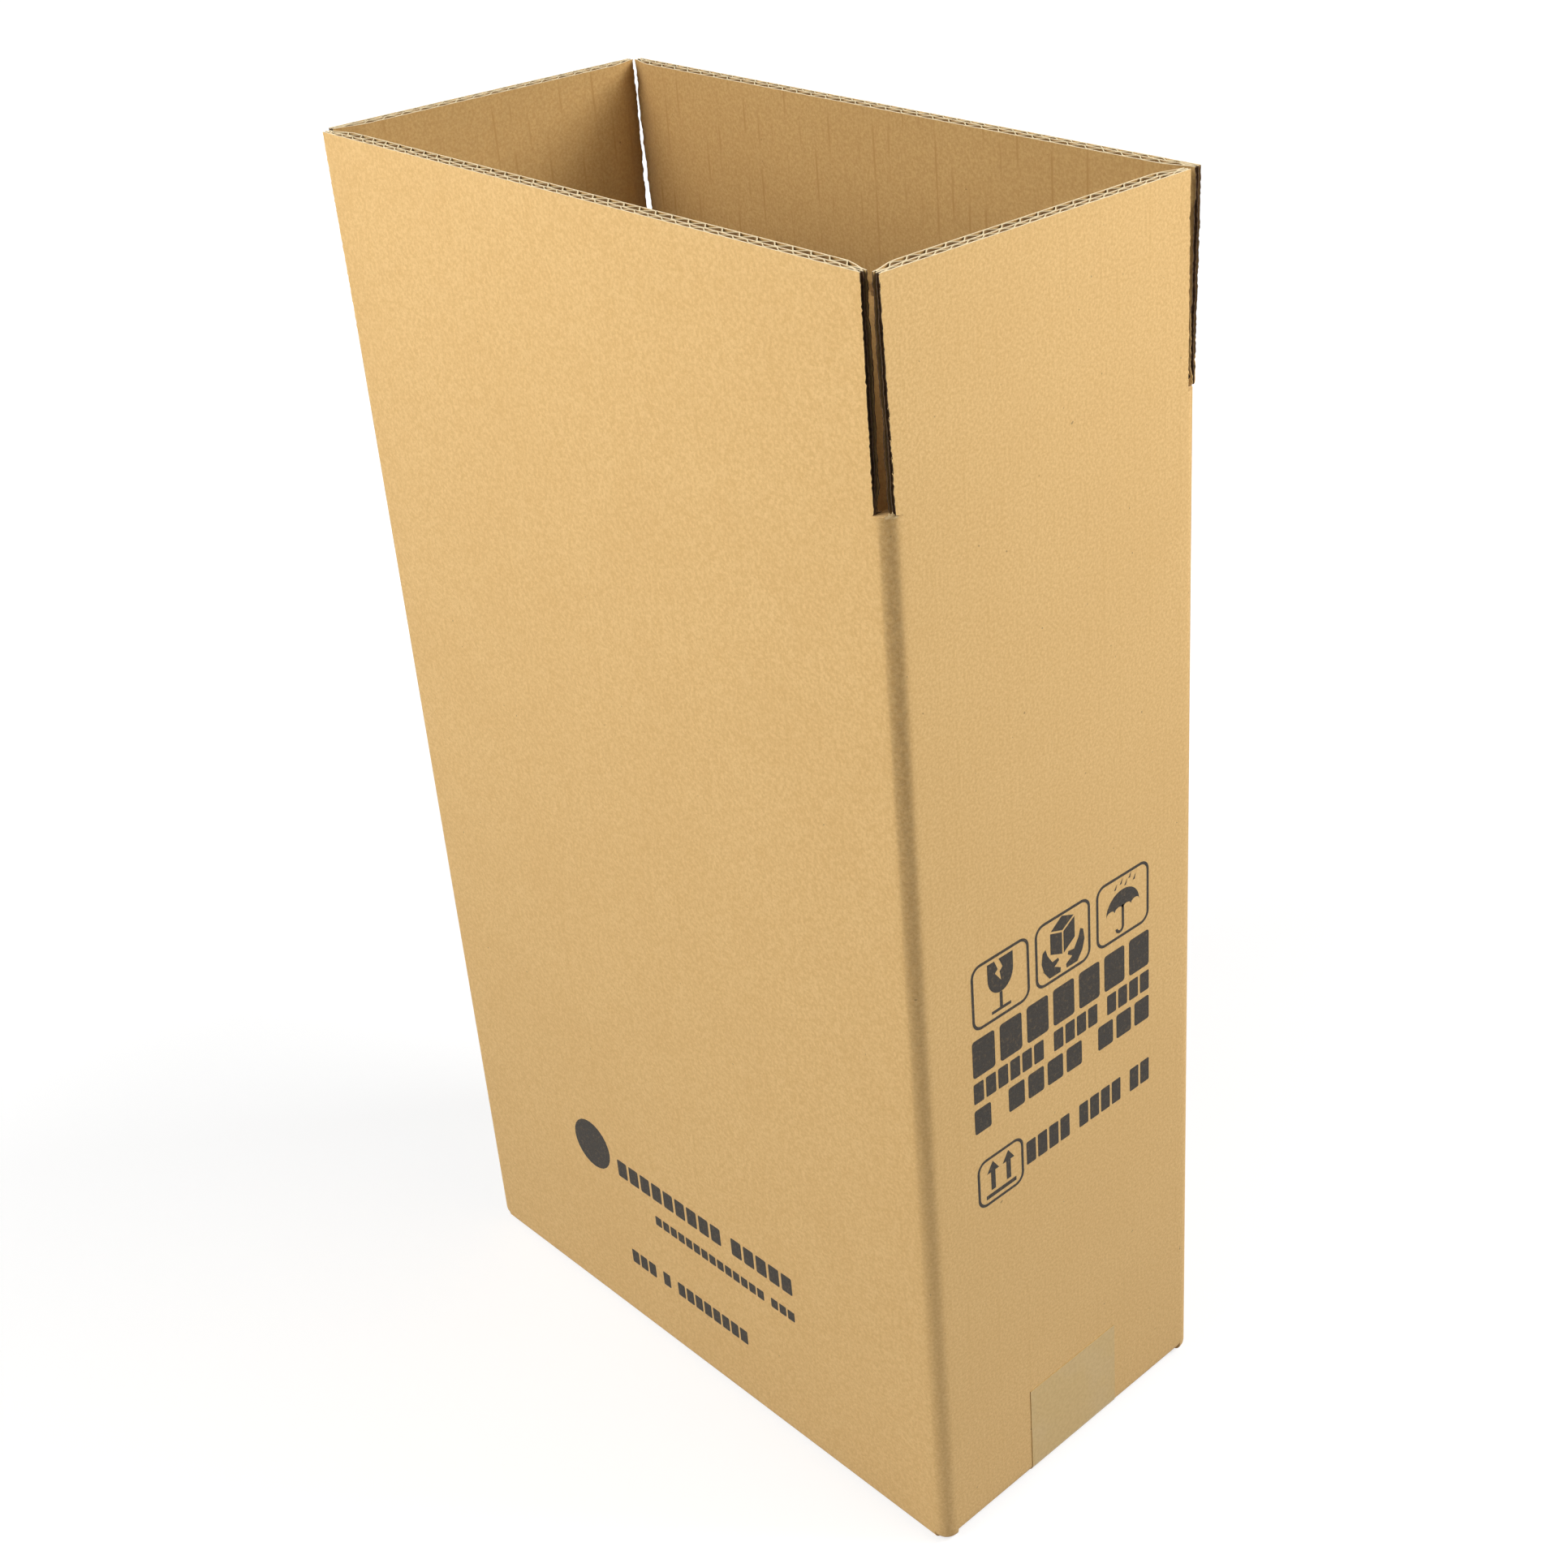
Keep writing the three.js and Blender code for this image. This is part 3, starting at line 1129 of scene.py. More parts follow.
@dataclass
class CartonBody:
    """The walls, corner folds, glue lap and taped bottom, below the top flaps' creases."""

    sizes: Sizes
    finishes: Finishes
    sleeve_low: float
    sleeve_high: float
    fold_steps: int = 16
    support: float = 0.35 * MM
    foot_radius: float = 4 * MM
    foot_steps: int = 6
    corner_foot: float = 1 * MM
    seam_gap: float = 3 * MM
    lap_width: float = 35 * MM
    lap_thickness: float = 3.5 * MM
    lap_foot_gap: float = 0.3 * MM
    lap_head_gap: float = 0.15 * MM
    edge_setback: float = 1 * MM
    groove_width: float = 3 * MM
    groove_depth: float = 2.2 * MM
    tape_half: float = 24.05 * MM
    tape_press: float = 0.3 * MM
    press_run: float = 4 * MM

    def fold_plan(self, sign_x: int, sign_y: int, inset: float = 0.0) -> list[Point]:
        """The outer outline of a fold, from its side along X to its side along Y.

        Args:
            sign_x: which end of the carton, 1 or -1.
            sign_y: which face of the carton, 1 or -1.
            inset: how far the fold is drawn in from the outer faces.

        Returns:
            Points round the fold.
        """
        size = self.sizes
        centre = (
            sign_x * (size.half_length - size.board),
            sign_y * (size.half_width - size.board),
        )
        start = 90.0 * sign_y
        end = 0.0 if sign_x > 0 else 180.0 * sign_y
        return arc(centre, size.board - inset, start, end, self.fold_steps)

    def sleeve(self) -> bmesh.types.BMesh:
        """The four walls between the bottom folds and the top creases, as one closed ring.

        Returns:
            The ring, with its faces outwards.
        """
        size = self.sizes
        seam = -size.half_length + size.board
        near_x, near_y = size.long_flap_half, size.short_flap_half
        outer = [(-near_x, -size.half_width), (near_x, -size.half_width)]
        outer += self.fold_plan(1, -1)
        outer += [(size.half_length, -near_y), (size.half_length, near_y)]
        outer += list(reversed(self.fold_plan(1, 1)))
        outer += [(near_x, size.half_width), (seam + self.groove_width / 2, size.half_width)]
        outer += [
            (seam, size.half_width - self.groove_depth),
            (seam - self.groove_width / 4, size.half_width - self.edge_setback),
            (-size.half_length, size.half_width - self.edge_setback),
            (-size.half_length, near_y),
            (-size.half_length, -near_y),
        ]
        outer += list(reversed(self.fold_plan(-1, -1)))
        inner_x, inner_y = size.half_length - size.board, size.half_width - size.board
        inner = [(-inner_x, -inner_y), (inner_x, -inner_y), (inner_x, inner_y), (-inner_x, inner_y)]

        ring = bmesh.new()
        levels = (self.sleeve_low, self.sleeve_high)
        outer_rings = [[ring.verts.new((x, y, z)) for x, y in outer] for z in levels]
        inner_rings = [[ring.verts.new((x, y, z)) for x, y in inner] for z in levels]
        for rings in (outer_rings, inner_rings):
            for here in range(len(rings[0])):
                after = (here + 1) % len(rings[0])
                ring.faces.new((rings[0][here], rings[0][after], rings[1][after], rings[1][here]))
        for level in (0, 1):
            edges = [
                ring.edges.get((loop[here], loop[(here + 1) % len(loop)]))
                for loop in (outer_rings[level], inner_rings[level])
                for here in range(len(loop))
            ]
            bmesh.ops.triangle_fill(ring, edges=edges, use_beauty=True)
        bmesh.ops.recalc_face_normals(ring, faces=ring.faces)
        return ring

    def stub_plan(self, sign_x: int, sign_y: int, inset: float = 0.0) -> list[Point]:
        """The outline of a corner fold between the flap ends at its two sides.

        Args:
            sign_x: which end of the carton, 1 or -1.
            sign_y: which face of the carton, 1 or -1.
            inset: how far the fold is drawn in from the outer faces.

        Returns:
            The outline's corners.
        """
        size = self.sizes
        inner_x, inner_y = size.half_length - size.board, size.half_width - size.board
        plan = [(sign_x * size.long_flap_half, sign_y * (size.half_width - inset))]
        plan += self.fold_plan(sign_x, sign_y, inset)
        plan += [
            (sign_x * (size.half_length - inset), sign_y * size.short_flap_half),
            (sign_x * inner_x, sign_y * size.short_flap_half),
            (sign_x * inner_x, sign_y * inner_y),
            (sign_x * size.long_flap_half, sign_y * inner_y),
        ]
        return plan

    def lap_plan(self) -> list[Point]:
        """The outline of the joined corner between the flap ends at its two sides.

        Returns:
            The outline's corners.
        """
        size = self.sizes
        seam = -size.half_length + size.board
        inner_y = size.half_width - size.board
        return [
            (-size.half_length, size.short_flap_half),
            (seam, size.short_flap_half),
            (seam, inner_y),
            (-size.long_flap_half, inner_y),
            (-size.long_flap_half, size.half_width - self.groove_depth / 2),
            (seam, size.half_width - self.groove_depth),
            (seam - self.groove_width / 4, size.half_width - self.edge_setback),
            (-size.half_length, size.half_width - self.edge_setback),
        ]

    def corners(self) -> list[bmesh.types.BMesh]:
        """The ends of the corner folds, above and below the sleeve, up to the slots.

        Returns:
            One closed solid for each end.
        """
        size = self.sizes
        solids = []
        for sign_x, sign_y in ((1, -1), (1, 1), (-1, -1)):
            plan = self.stub_plan(sign_x, sign_y)
            solids.append(prism(plan, self.sleeve_high, size.slot_top, UPRIGHT))
            turns = angles(0.0, 90.0, self.foot_steps)
            radius = self.foot_radius
            rings = [
                (
                    self.stub_plan(sign_x, sign_y, radius * (1 - math.sin(turn))),
                    self.corner_foot + radius * (1 - math.cos(turn)),
                )
                for turn in turns
            ]
            solids.append(loft([*rings, (plan, self.sleeve_low)], UPRIGHT))
        for low, high in (
            (size.layer, self.sleeve_low),
            (self.sleeve_high, size.short_crease),
        ):
            solids.append(prism(self.lap_plan(), low, high, UPRIGHT))
        return solids

    def foot_section(self, face: float, foot: float, layer: float, flap_end: float) -> list[Point]:
        """The section of a wall's foot and its bottom flap.

        Args:
            face: how far the outer face is from the middle.
            foot: the height of the bottom fold's lowest line.
            layer: the height of the flap's underside. On the floor it is pressed in by tape.
            flap_end: how far the flap's free edge is from the middle.

        Returns:
            The section's outline, distance from the middle by height.
        """
        pressed = layer <= foot
        bottom = layer + self.tape_press if pressed else layer
        board = self.sizes.board
        section = [(-face, self.sleeve_low), (-face, foot + self.foot_radius + self.support)]
        centre = (-face + self.foot_radius, foot + self.foot_radius)
        section += arc(centre, self.foot_radius, 180.0, 270.0, self.fold_steps)
        section += [(-face + self.foot_radius + self.support, foot)]
        if pressed:
            section += [
                (-self.tape_half - self.press_run, foot),
                (-self.tape_half, bottom),
            ]
        else:
            section += [(-face + board, foot), (-face + board, layer)]
        section += [
            (-flap_end, bottom),
            (-flap_end, layer + board),
            (-face + board, layer + board),
            (-face + board, self.sleeve_low),
        ]
        return section

    def feet(self) -> list[bmesh.types.BMesh]:
        """The bottom folds and flaps: the long ones outside, the short ones inside.

        Returns:
            One closed solid for each panel's foot.
        """
        size = self.sizes
        long_section = self.foot_section(size.half_width, 0.0, 0.0, self.seam_gap / 2)
        short_flap = size.rim - size.short_crease
        short_end = size.half_length - short_flap
        low = size.short_foot
        short_section = self.foot_section(size.half_length, low, size.layer, short_end)
        solids = []
        for turn in (0.0, 180.0):
            about = Matrix.Rotation(math.radians(turn), 4, "Z")
            reach = size.long_flap_half
            solids.append(prism(long_section, -reach, reach, about @ ALONG_X))
            reach = size.short_flap_half
            solids.append(prism(short_section, -reach, reach, about @ ALONG_MINUS_Y))
        return solids

    def lap(self) -> bmesh.types.BMesh:
        """The glue lap, flat against the inside of the left panel.

        Returns:
            The lap's closed solid.
        """
        size = self.sizes
        root = size.half_width - size.board
        tip = root - self.lap_width
        low = size.layer + size.board + self.lap_foot_gap
        high = size.short_crease - size.board - self.lap_head_gap
        slope = self.lap_width / 4
        plan = [(root, low), (root, high), (tip, high - slope), (tip, low + slope)]
        start = -size.half_length + size.board
        return prism(plan, start, start + self.lap_thickness, ALONG_X)

    def build(self) -> bpy.types.Object:
        """Make the body.

        Returns:
            The finished piece.
        """
        solids = [self.sleeve(), *self.corners(), *self.feet(), self.lap()]
        body = finished("carton_walls", solids, self.finishes.outside)
        self.line(body)
        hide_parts("carton_body")
        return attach(body, "carton")

    def line(self, body: bpy.types.Object) -> None:
        """Give the faces that look into the carton the inner liner.

        Args:
            body: the carton's body.
        """
        body.data.materials.append(self.finishes.inside)
        inner_x = self.sizes.half_length - self.sizes.board + self.support
        inner_y = self.sizes.half_width - self.sizes.board + self.support
        for face in body.data.polygons:
            centre = face.center
            within = abs(centre.x) < inner_x and abs(centre.y) < inner_y
            if within and centre.z > self.sizes.board / 2:
                face.material_index = 1


@dataclass
class TornTab:
    """A scrap of paper left standing at the foot of the front corner's slot."""

    sizes: Sizes
    finishes: Finishes
    start: float = -52.0
    end: float = -14.0
    steps: int = 18
    thickness: float = 0.4 * MM
    root: float = 0.5 * MM
    stand_off: float = 0.03 * MM
    lowest: float = 0.15

    def height(self, share: float) -> float:
        """How far the scrap stands up, from its left end at 0 to its right end at 1.

        Args:
            share: how far along the scrap.

        Returns:
            The height above the slot's foot.
        """
        swell = math.sin(math.pi * share) * 0.9
        ragged = 0.35 * math.sin(23.0 * share) + 0.22 * math.sin(51.0 * share + 1.0)
        return max(self.lowest, swell + 0.45 * share + ragged) * MM

    def build(self) -> bpy.types.Object:
        """Make the scrap.

        Returns:
            The finished piece.
        """
        size = self.sizes
        centre = (size.half_length - size.board, -size.half_width + size.board)
        radius = size.board + self.stand_off
        outer = arc(centre, radius, self.start, self.end, self.steps)
        inner = arc(centre, radius - self.thickness, self.start, self.end, self.steps)
        tops = [size.slot_top + self.height(step / self.steps) for step in range(self.steps + 1)]
        low = size.slot_top - self.root
        solid = bmesh.new()
        rows = []
        for out, within, top in zip(outer, inner, tops):
            corners = ((*out, low), (*out, top), (*within, top), (*within, low))
            rows.append([solid.verts.new(corner) for corner in corners])
        for here, after in zip(rows, rows[1:]):
            for first in range(4):
                second = (first + 1) % 4
                solid.faces.new((here[first], here[second], after[second], after[first]))
        solid.faces.new(rows[0])
        solid.faces.new(list(reversed(rows[-1])))
        bmesh.ops.recalc_face_normals(solid, faces=solid.faces)
        tab = finished("torn_tab", [solid], self.finishes.torn)
        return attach(tab, "carton")


@dataclass
class HandlingPrint:
    """The printed handling marks: plain pictures in rounded frames, with blocks beside them.

    Places on the right panel are across, from its middle towards the back, and up.
    """

    sizes: Sizes
    finishes: Finishes
    lift: float = 0.02 * MM
    film: float = 0.04 * MM
    frame_line: float = 1.15 * MM
    frame_round: float = 4.5 * MM
    disc_corners: int = 24
    letter_gap: float = 0.24
    word_gap: float = 1.1
    block_round: float = 0.12

    def on_right(self) -> Matrix:
        """From a flat drawing to the right panel."""
        rows = ((0, 0, 1, self.sizes.half_length), (1, 0, 0, 0), (0, 1, 0, 0), (0, 0, 0, 1))
        return Matrix(rows)

    def on_front(self) -> Matrix:
        """From a flat drawing to the front panel."""
        rows = ((1, 0, 0, 0), (0, 0, -1, -self.sizes.half_width), (0, 1, 0, 0), (0, 0, 0, 1))
        return Matrix(rows)

    def shape(self, outline: Sequence[Point], place: Matrix) -> bmesh.types.BMesh:
        """A filled shape as a thin film of ink.

        Args:
            outline: the shape's corners in millimetres.
            place: which panel it is printed on.

        Returns:
            The shape's solid.
        """
        corners = [(x * MM, y * MM) for x, y in outline]
        return prism(corners, self.lift, self.lift + self.film, place)

    def ring(self, outer: Sequence[Point], inner: Sequence[Point], place: Matrix) -> bmesh.types.BMesh:
        """A line that closes on itself, between two outlines with as many points.

        Args:
            outer: the outer outline in millimetres.
            inner: the inner outline in millimetres.
            place: which panel it is printed on.

        Returns:
            The line's solid.
        """
        solid = bmesh.new()
        rings = [
            [solid.verts.new((x * MM, y * MM, level)) for x, y in outline]
            for outline, level in (
                (outer, self.lift),
                (outer, self.lift + self.film),
                (inner, self.lift + self.film),
                (inner, self.lift),
            )
        ]
        count = len(outer)
        for row, after in ((0, 1), (1, 2), (2, 3), (3, 0)):
            for here in range(count):
                there = (here + 1) % count
                solid.faces.new(
                    (rings[row][here], rings[row][there], rings[after][there], rings[after][here])
                )
        solid.transform(place)
        bmesh.ops.recalc_face_normals(solid, faces=solid.faces)
        return solid

    def disc(self, centre: Point, radius: float, place: Matrix) -> bmesh.types.BMesh:
        """A filled round spot.

        Args:
            centre: the spot's middle in millimetres.
            radius: its radius in millimetres.
            place: which panel it is printed on.

        Returns:
            The spot's solid.
        """
        step = 360.0 / self.disc_corners
        outline = arc(centre, radius, 0.0, 360.0 - step, self.disc_corners - 1)
        return self.shape(outline, place)

    def rounded(self, low: Point, high: Point, radius: float, inset: float) -> list[Point]:
        """The outline of a box with round corners, in millimetres.

        Args:
            low: the box's lower left corner.
            high: its upper right corner.
            radius: the radius of its corners.
            inset: how far the outline is drawn in.

        Returns:
            The outline's points.
        """
        left, bottom = low[0] + inset, low[1] + inset
        right, top = high[0] - inset, high[1] - inset
        turn = radius - inset
        outline: list[Point] = []
        for x, y, start in (
            (right - turn, bottom + turn, -90.0),
            (right - turn, top - turn, 0.0),
            (left + turn, top - turn, 90.0),
            (left + turn, bottom + turn, 180.0),
        ):
            outline += arc((x, y), turn, start, start + 90.0, 8)
        return outline

    def frame(self, low: Point, high: Point, place: Matrix) -> bmesh.types.BMesh:
        """A rounded frame line.

        Args:
            low: the frame's lower left corner in millimetres.
            high: its upper right corner.
            place: which panel it is printed on.

        Returns:
            The frame's solid.
        """
        radius = self.frame_round / MM
        line = self.frame_line / MM
        return self.ring(
            self.rounded(low, high, radius, 0.0), self.rounded(low, high, radius, line), place
        )

    def goblet(self, centre: Point, place: Matrix) -> list[bmesh.types.BMesh]:
        """A stemmed glass with a crack in its bowl.

        Args:
            centre: the picture's middle in millimetres.
            place: which panel it is printed on.

        Returns:
            One solid for each part of the picture.
        """
        x, y = centre
        bowl = [(x - 6.2, y + 10.4), (x - 2.8, y + 10.4), (x - 1.2, y + 6.6), (x - 2.6, y + 5.4)]
        bowl += [(x + 0.4, y + 1.4), (x - 0.3, y + 5.2), (x + 1.2, y + 6.6), (x - 0.6, y + 10.4)]
        bowl += [(x + 6.2, y + 10.4)]
        bowl += [(x + 6.2 * math.cos(t), y + 4.4 + 7.4 * math.sin(t)) for t in angles(0, -90)]
        bowl += [(x + 6.2 * math.cos(t), y + 4.4 + 7.4 * math.sin(t)) for t in angles(-98, -180)]
        stem = [(x - 0.7, y - 3.1), (x - 0.7, y - 9.2), (x + 0.7, y - 9.2), (x + 0.7, y - 3.1)]
        base = [(x - 4.7, y - 9.1), (x - 4.7, y - 10.3), (x + 4.7, y - 10.3), (x + 4.7, y - 9.1)]
        return [self.shape(part, place) for part in (bowl, stem, base)]

    def parcel(self, centre: Point, place: Matrix) -> list[bmesh.types.BMesh]:
        """A box seen at an angle, held between two open hands.

        Args:
            centre: the picture's middle in millimetres.
            place: which panel it is printed on.

        Returns:
            One solid for each part of the picture.
        """
        x, y = centre
        front = [(x - 6.4, y - 2.8), (x - 0.5, y - 5.2), (x - 0.5, y + 3.6), (x - 6.4, y + 5.6)]
        side = [(x + 0.3, y - 5.2), (x + 6.0, y - 1.4), (x + 6.0, y + 7.0), (x + 0.3, y + 3.6)]
        lid = [(x - 6.0, y + 6.4), (x - 0.2, y + 4.3), (x + 5.6, y + 7.8), (x - 0.4, y + 10.2)]
        hand = [(10.4, -0.4), (8.9, 0.5), (7.9, -2.6), (5.6, -6.2), (2.6, -5.8), (2.2, -7.0)]
        hand += [(4.6, -8.6), (1.4, -10.4), (1.6, -12.2), (7.2, -12.2), (9.8, -8.6), (11.0, -4.6)]
        left = [(x - a, y + b) for a, b in reversed(hand)]
        right = [(x + a, y + b) for a, b in hand]
        return [self.shape(part, place) for part in (front, side, lid, left, right)]

    def umbrella(self, centre: Point, place: Matrix) -> list[bmesh.types.BMesh]:
        """An open umbrella under falling drops.

        Args:
            centre: the picture's middle in millimetres.
            place: which panel it is printed on.

        Returns:
            One solid for each part of the picture.
        """
        x, y = centre
        canopy = [(x + 8.8 * math.cos(t), y - 1.6 + 8.0 * math.sin(t)) for t in angles(0, 180, 16)]
        for gore in range(4):
            middle = x - 6.6 + 4.4 * gore
            canopy += [
                (middle + 2.2 * math.cos(t), y - 1.6 + 1.5 * math.sin(t))
                for t in angles(180, 0, 6)[1:]
            ]
        canopy.pop()
        pole = [(x - 0.6, y), (x - 0.6, y - 8.8), (x + 0.6, y - 8.8), (x + 0.6, y)]
        bend = (x - 1.7, y - 8.8)
        hook = arc(bend, 2.3, 0.0, -180.0, 8) + arc(bend, 1.1, -180.0, 0.0, 8)
        parts = [canopy, pole, hook]
        for left, bottom in ((-4.6, 7.6), (-1.6, 8.8), (0.8, 7.4), (3.0, 9.4), (5.4, 7.6)):
            drop = [(left, bottom), (left + 1.0, bottom), (left + 1.6, bottom + 2.2)]
            parts.append([(x + a, y + b) for a, b in drop])
        return [self.shape(part, place) for part in parts]

    def arrows(self, centre: Point, place: Matrix) -> list[bmesh.types.BMesh]:
        """Two arrows that point up from a line.

        Args:
            centre: the picture's middle in millimetres.
            place: which panel it is printed on.

        Returns:
            One solid for each part of the picture.
        """
        x, y = centre
        parts = [[(x - 7.6, y - 7.6), (x + 7.6, y - 7.6), (x + 7.6, y - 5.9), (x - 7.6, y - 5.9)]]
        for middle in (x - 3.9, x + 3.9):
            parts.append(
                [
                    (middle - 1.1, y - 4.6),
                    (middle + 1.1, y - 4.6),
                    (middle + 1.1, y + 3.4),
                    (middle + 3.0, y + 3.4),
                    (middle, y + 7.8),
                    (middle - 3.0, y + 3.4),
                    (middle - 1.1, y + 3.4),
                ]
            )
        return [self.shape(part, place) for part in parts]

    def words(
        self, start: Point, width: float, height: float, counts: Sequence[int], place: Matrix
    ) -> list[bmesh.types.BMesh]:
        """A row of plain blocks, grouped as the letters of words would be.

        Args:
            start: the row's lower left corner in millimetres.
            width: the whole row's width.
            height: how tall the blocks are.
            counts: how many blocks are in each group.
            place: which panel they are printed on.

        Returns:
            One solid for each block.
        """
        space, gap = self.word_gap, self.letter_gap
        steps = sum(counts) * (1 + gap) + (len(counts) - 1) * space - len(counts) * gap
        block = width / steps
        left, bottom = start
        solids = []
        for count in counts:
            for _ in range(count):
                low, high = (left, bottom), (left + block, bottom + height)
                corner = min(block, height) * self.block_round
                solids.append(self.shape(self.rounded(low, high, corner, 0.0), place))
                left += block * (1 + gap)
            left += block * (space - gap)
        return solids

    def build(self) -> list[bpy.types.Object]:
        """Print both panels.

        Returns:
            The finished pieces.
        """
        right, front = self.on_right(), self.on_front()
        marks = {
            "print_goblet": [
                self.frame((-45.8, 221.2), (-17.6, 247.2), right),
                *self.goblet((-31.7, 234.4), right),
            ],
            "print_parcel": [
                self.frame((-14.6, 221.6), (13.6, 247.6), right),
                *self.parcel((-0.5, 236.0), right),
            ],
            "print_umbrella": [
                self.frame((16.8, 222.0), (45.0, 248.0), right),
                *self.umbrella((30.9, 235.2), right),
            ],
            "print_arrows": [
                self.frame((-46.6, 145.6), (-23.4, 166.2), right),
                *self.arrows((-35.0, 155.9), right),
            ],
            "print_side_words": [
                *self.words((-46.5, 202.8), 91.5, 15.2, (7,), right),
                *self.words((-46.6, 192.1), 91.6, 8.4, (6, 4, 4), right),
                *self.words((-46.7, 179.2), 91.7, 10.2, (1, 4, 3), right),
                *self.words((-21.8, 151.2), 66.8, 10.0, (4, 4, 2), right),
            ],
            "print_front_words": [
                self.disc((-59.4, 83.0), 11.5, front),
                *self.words((-43.0, 75.6), 106.0, 8.4, (9, 5), front),
                *self.words((-21.0, 62.4), 84.0, 4.6, (14, 3), front),
                *self.words((-41.0, 31.2), 73.0, 6.8, (3, 1, 8), front),
            ],
        }
        pieces = []
        for name, solids in marks.items():
            piece = finished(name, solids, self.finishes.ink)
            pieces.append(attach(piece, "carton"))
        return pieces


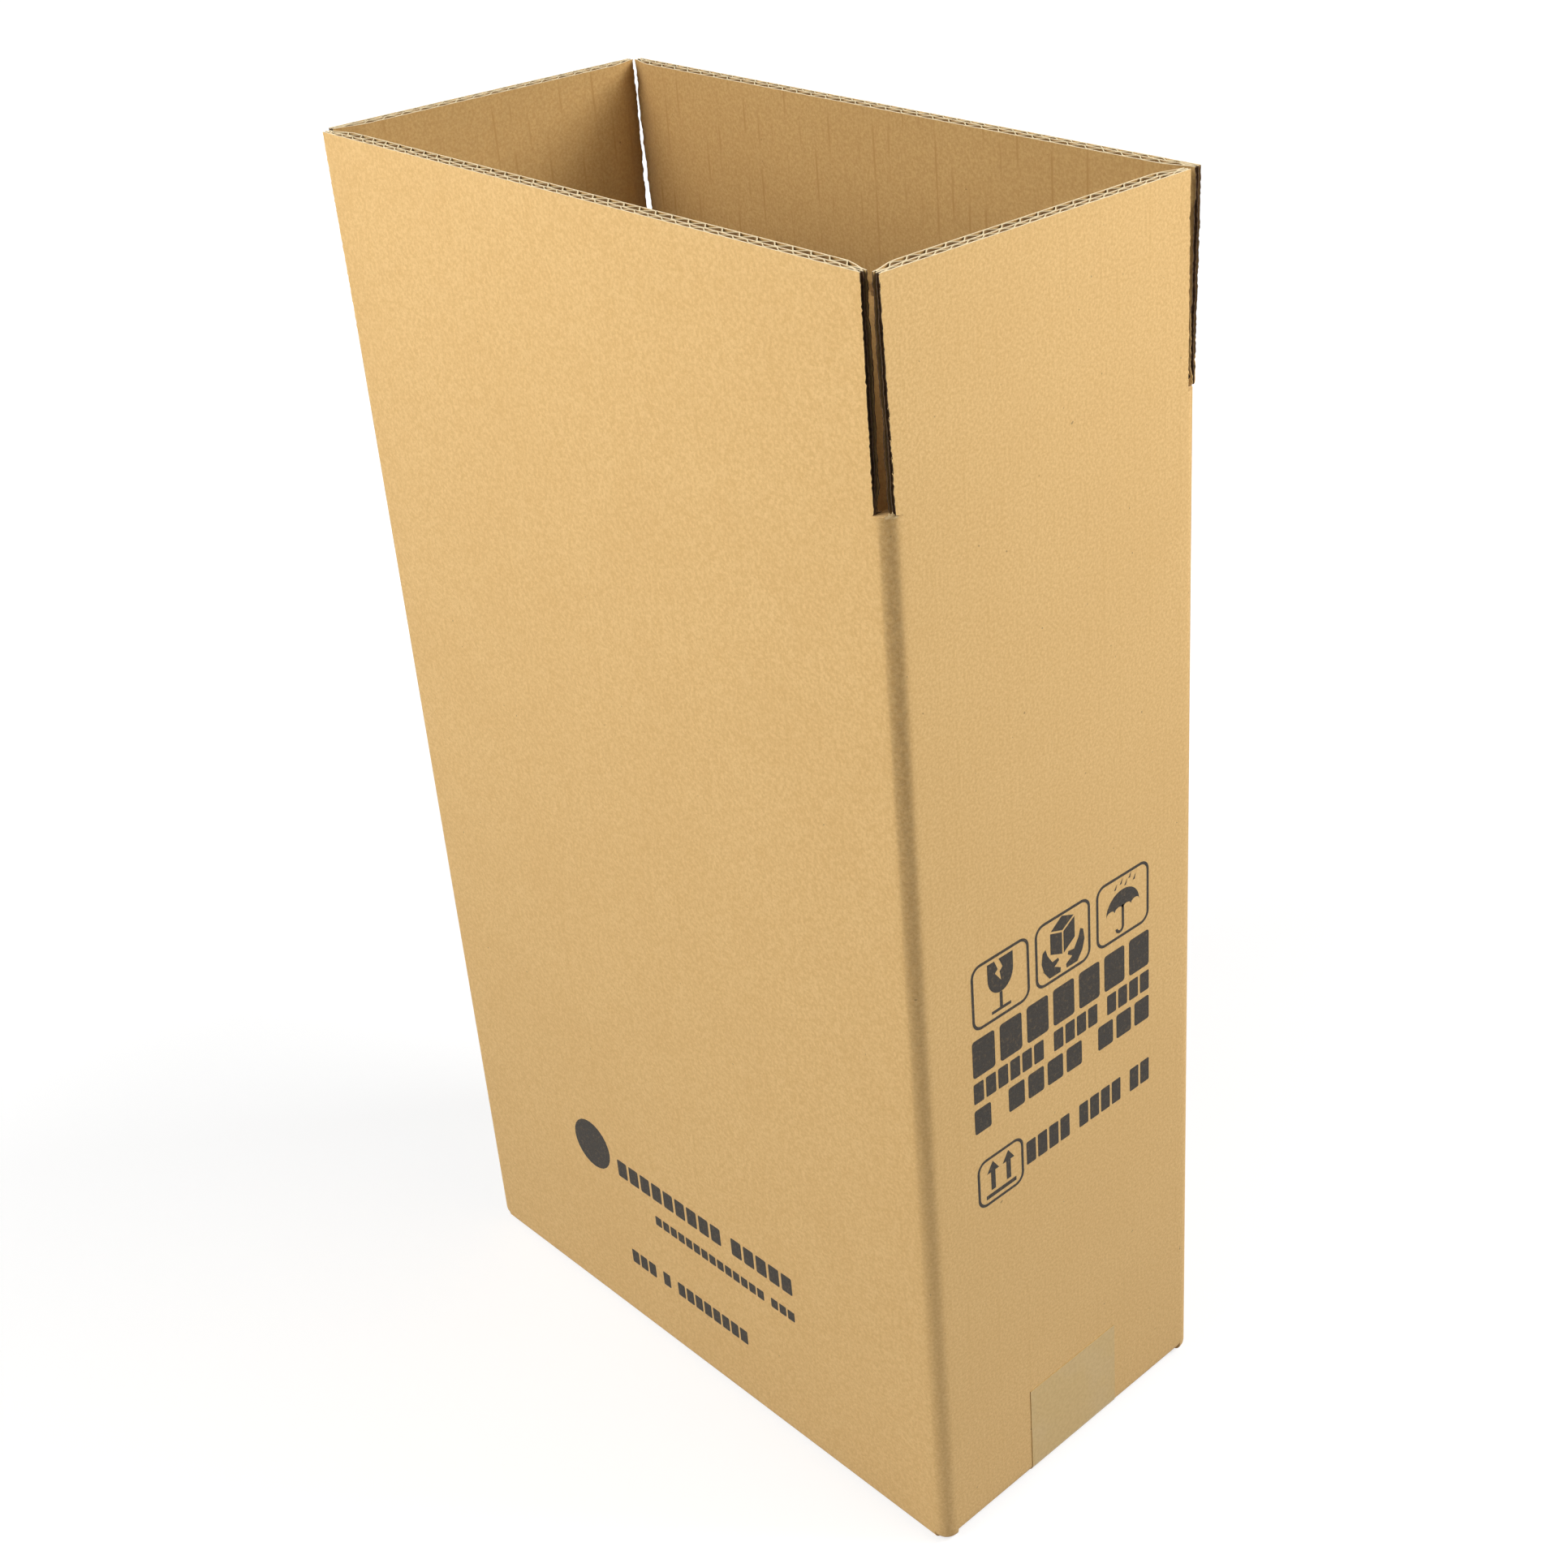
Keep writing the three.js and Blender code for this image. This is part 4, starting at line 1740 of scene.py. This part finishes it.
@dataclass
class Studio:
    """A white room: a pale floor, soft lamps on both sides and overhead, and the camera."""

    focus: float = 2774.1
    frame_side: float = 1932.0
    azimuth: float = 45.848
    elevation: float = 27.82
    roll: float = -2.733
    spot: tuple[float, float, float] = (0.5777, -0.4752, 0.6697)
    centre: Point = (1164.8, 866.7)
    sensor: float = 36.0
    aim: tuple[float, float, float] = (0.0, 0.0, 0.25)
    ambient: float = 0.05
    floor_reach: float = 6.0
    floor_drop: float = 0.02 * MM
    floor_grey: float = 0.35
    floor_glow: float = 0.7
    glow_start: float = 0.35
    glow_end: float = 0.9

    def camera(self) -> None:
        """Place the camera as the photograph's was."""
        turn, lift, tilt = (math.radians(a) for a in (self.azimuth, self.elevation, self.roll))
        back = Vector(
            (math.sin(turn) * math.cos(lift), -math.cos(turn) * math.cos(lift), math.sin(lift))
        )
        right = (-back).cross(Vector((0.0, 0.0, 1.0))).normalized()
        up = right.cross(-back)
        across = math.cos(tilt) * right + math.sin(tilt) * up
        upward = -math.sin(tilt) * right + math.cos(tilt) * up
        data = bpy.data.cameras.new("camera")
        data.sensor_width = self.sensor
        data.lens = self.focus / self.frame_side * self.sensor
        data.shift_x = (self.frame_side / 2 - self.centre[0]) / self.frame_side
        data.shift_y = (self.centre[1] - self.frame_side / 2) / self.frame_side
        data.clip_start = 0.01
        camera = bpy.data.objects.new("camera", data)
        camera.matrix_world = Matrix.Translation(self.spot) @ Matrix(
            (
                (across.x, upward.x, back.x, 0.0),
                (across.y, upward.y, back.y, 0.0),
                (across.z, upward.z, back.z, 0.0),
                (0.0, 0.0, 0.0, 1.0),
            )
        )
        bpy.context.scene.collection.objects.link(camera)
        bpy.context.scene.camera = camera

    def lamp(self, name: str, spot: Sequence[float], side: float, watts: float) -> None:
        """Add a square soft lamp that points at the carton.

        Args:
            name: the lamp's name.
            spot: where it hangs.
            side: its width.
            watts: its power.
        """
        data = bpy.data.lights.new(name, "AREA")
        data.energy = watts
        data.size = side
        light = bpy.data.objects.new(name, data)
        light.location = spot
        direction = Vector(self.aim) - Vector(spot)
        light.rotation_mode = "QUATERNION"
        light.rotation_quaternion = direction.to_track_quat("-Z", "Y")
        bpy.context.scene.collection.objects.link(light)

    def white_to_camera(self, graph: Graph) -> bpy.types.NodeSocket:
        """Whether a ray comes from the camera, a mirror or through glass.

        Args:
            graph: the material's or the world's nodes.

        Returns:
            A socket that is 1 for such a ray.
        """
        path = graph.node("ShaderNodeLightPath").outputs
        seen = graph.maths("MAXIMUM", path["Is Camera Ray"], path["Is Glossy Ray"])
        return graph.maths("MAXIMUM", seen, path["Is Transmission Ray"])

    def world(self) -> None:
        """A dim room that shows as white behind the carton."""
        world = bpy.data.worlds.new("room")
        world.use_nodes = True
        bpy.context.scene.world = world
        graph = Graph(world.node_tree)
        background = next(n for n in world.node_tree.nodes if n.type == "BACKGROUND")
        background.inputs["Color"].default_value = (1.0, 1.0, 1.0, 1.0)
        strength = graph.ramp(self.white_to_camera(graph), 0.0, 1.0, self.ambient, 1.0)
        graph.feed(background.inputs["Strength"], strength)

    def floor(self) -> None:
        """A white floor that keeps the carton's shadow."""
        mesh = bpy.data.meshes.new("floor")
        reach, low = self.floor_reach, -self.floor_drop
        corners = [(-reach, -reach), (reach, -reach), (reach, reach), (-reach, reach)]
        mesh.from_pydata([(x, y, low) for x, y in corners], [], [(0, 1, 2, 3)])
        floor = link("floor", mesh)
        material, graph, shader = new_material("white_floor")
        shader.inputs["Base Color"].default_value = (*[self.floor_grey] * 3, 1.0)
        shader.inputs["Roughness"].default_value = 0.9
        shader.inputs["Emission Color"].default_value = (1.0, 1.0, 1.0, 1.0)
        seen = self.white_to_camera(graph)
        x, y, _ = graph.split(graph.node("ShaderNodeTexCoord").outputs["Object"])
        away = graph.maths("SQRT", graph.sum(graph.times(x, x), graph.times(y, y)))
        glow = graph.ramp(away, self.glow_start, self.glow_end, self.floor_glow, 1.0)
        graph.feed(shader.inputs["Emission Strength"], graph.times(seen, glow))
        mesh.materials.append(material)

    def build(self) -> None:
        """Set up the room, the lamps and the camera."""
        self.camera()
        self.world()
        self.floor()
        self.lamp("left_lamp", (-0.3, -1.8, 1.3), 1.1, 16.6)
        self.lamp("low_left_lamp", (-1.3, -1.6, 0.6), 1.1, 8.2)
        self.lamp("right_lamp", (0.9, 0.9, 1.1), 0.7, 19.0)
        self.lamp("front_lamp", (1.0, -1.2, 1.6), 0.8, 1.8)
        self.lamp("top_left_lamp", (-0.2, -0.65, 0.95), 0.5, 4.1)
        self.lamp("top_right_lamp", (0.75, 0.2, 0.95), 0.5, 3.0)


def main() -> None:
    """Dress the carton and light it."""
    logging.basicConfig(level=logging.INFO, format="%(name)s: %(message)s")
    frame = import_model()
    LOG.info("loaded %d nodes", len(frame["nodes"]))
    bpy.context.scene.view_settings.view_transform = "Standard"
    Studio().build()

    sizes = Sizes.from_frame()
    finishes = Finishes(sizes)
    sleeve_high = sizes.short_crease - FLAP_ROOT
    sleeve_low = sizes.layer + FLAP_ROOT
    body = CartonBody(sizes, finishes, sleeve_low, sleeve_high).build()
    LOG.info("walls: %d faces", len(body.data.polygons))

    tab = TornTab(sizes, finishes).build()
    LOG.info("torn tab: %d faces", len(tab.data.polygons))

    plies = PlyTree()
    lips = {
        Side.FRONT: (3.0 * MM, 1.4 * MM),
        Side.RIGHT: (4.1 * MM, 0.8 * MM),
        Side.BACK: (6.0 * MM, 3.2 * MM),
        Side.LEFT: (3.1 * MM, 2.0 * MM),
    }
    for side, (left_lip, right_lip) in lips.items():
        flap = TopFlap(side, sizes, finishes, plies, sleeve_high, left_lip, right_lip)
        board = flap.build()
        LOG.info("%s flap: %d faces", side.word, len(board.data.polygons))

    tape = frame["nodes"]["bottom_tape"]
    tape.data.materials.clear()
    tape.data.materials.append(finishes.tape)
    for piece in HandlingPrint(sizes, finishes).build():
        LOG.info("%s: %d faces", piece.name, len(piece.data.polygons))


if __name__ == "__main__":
    main()
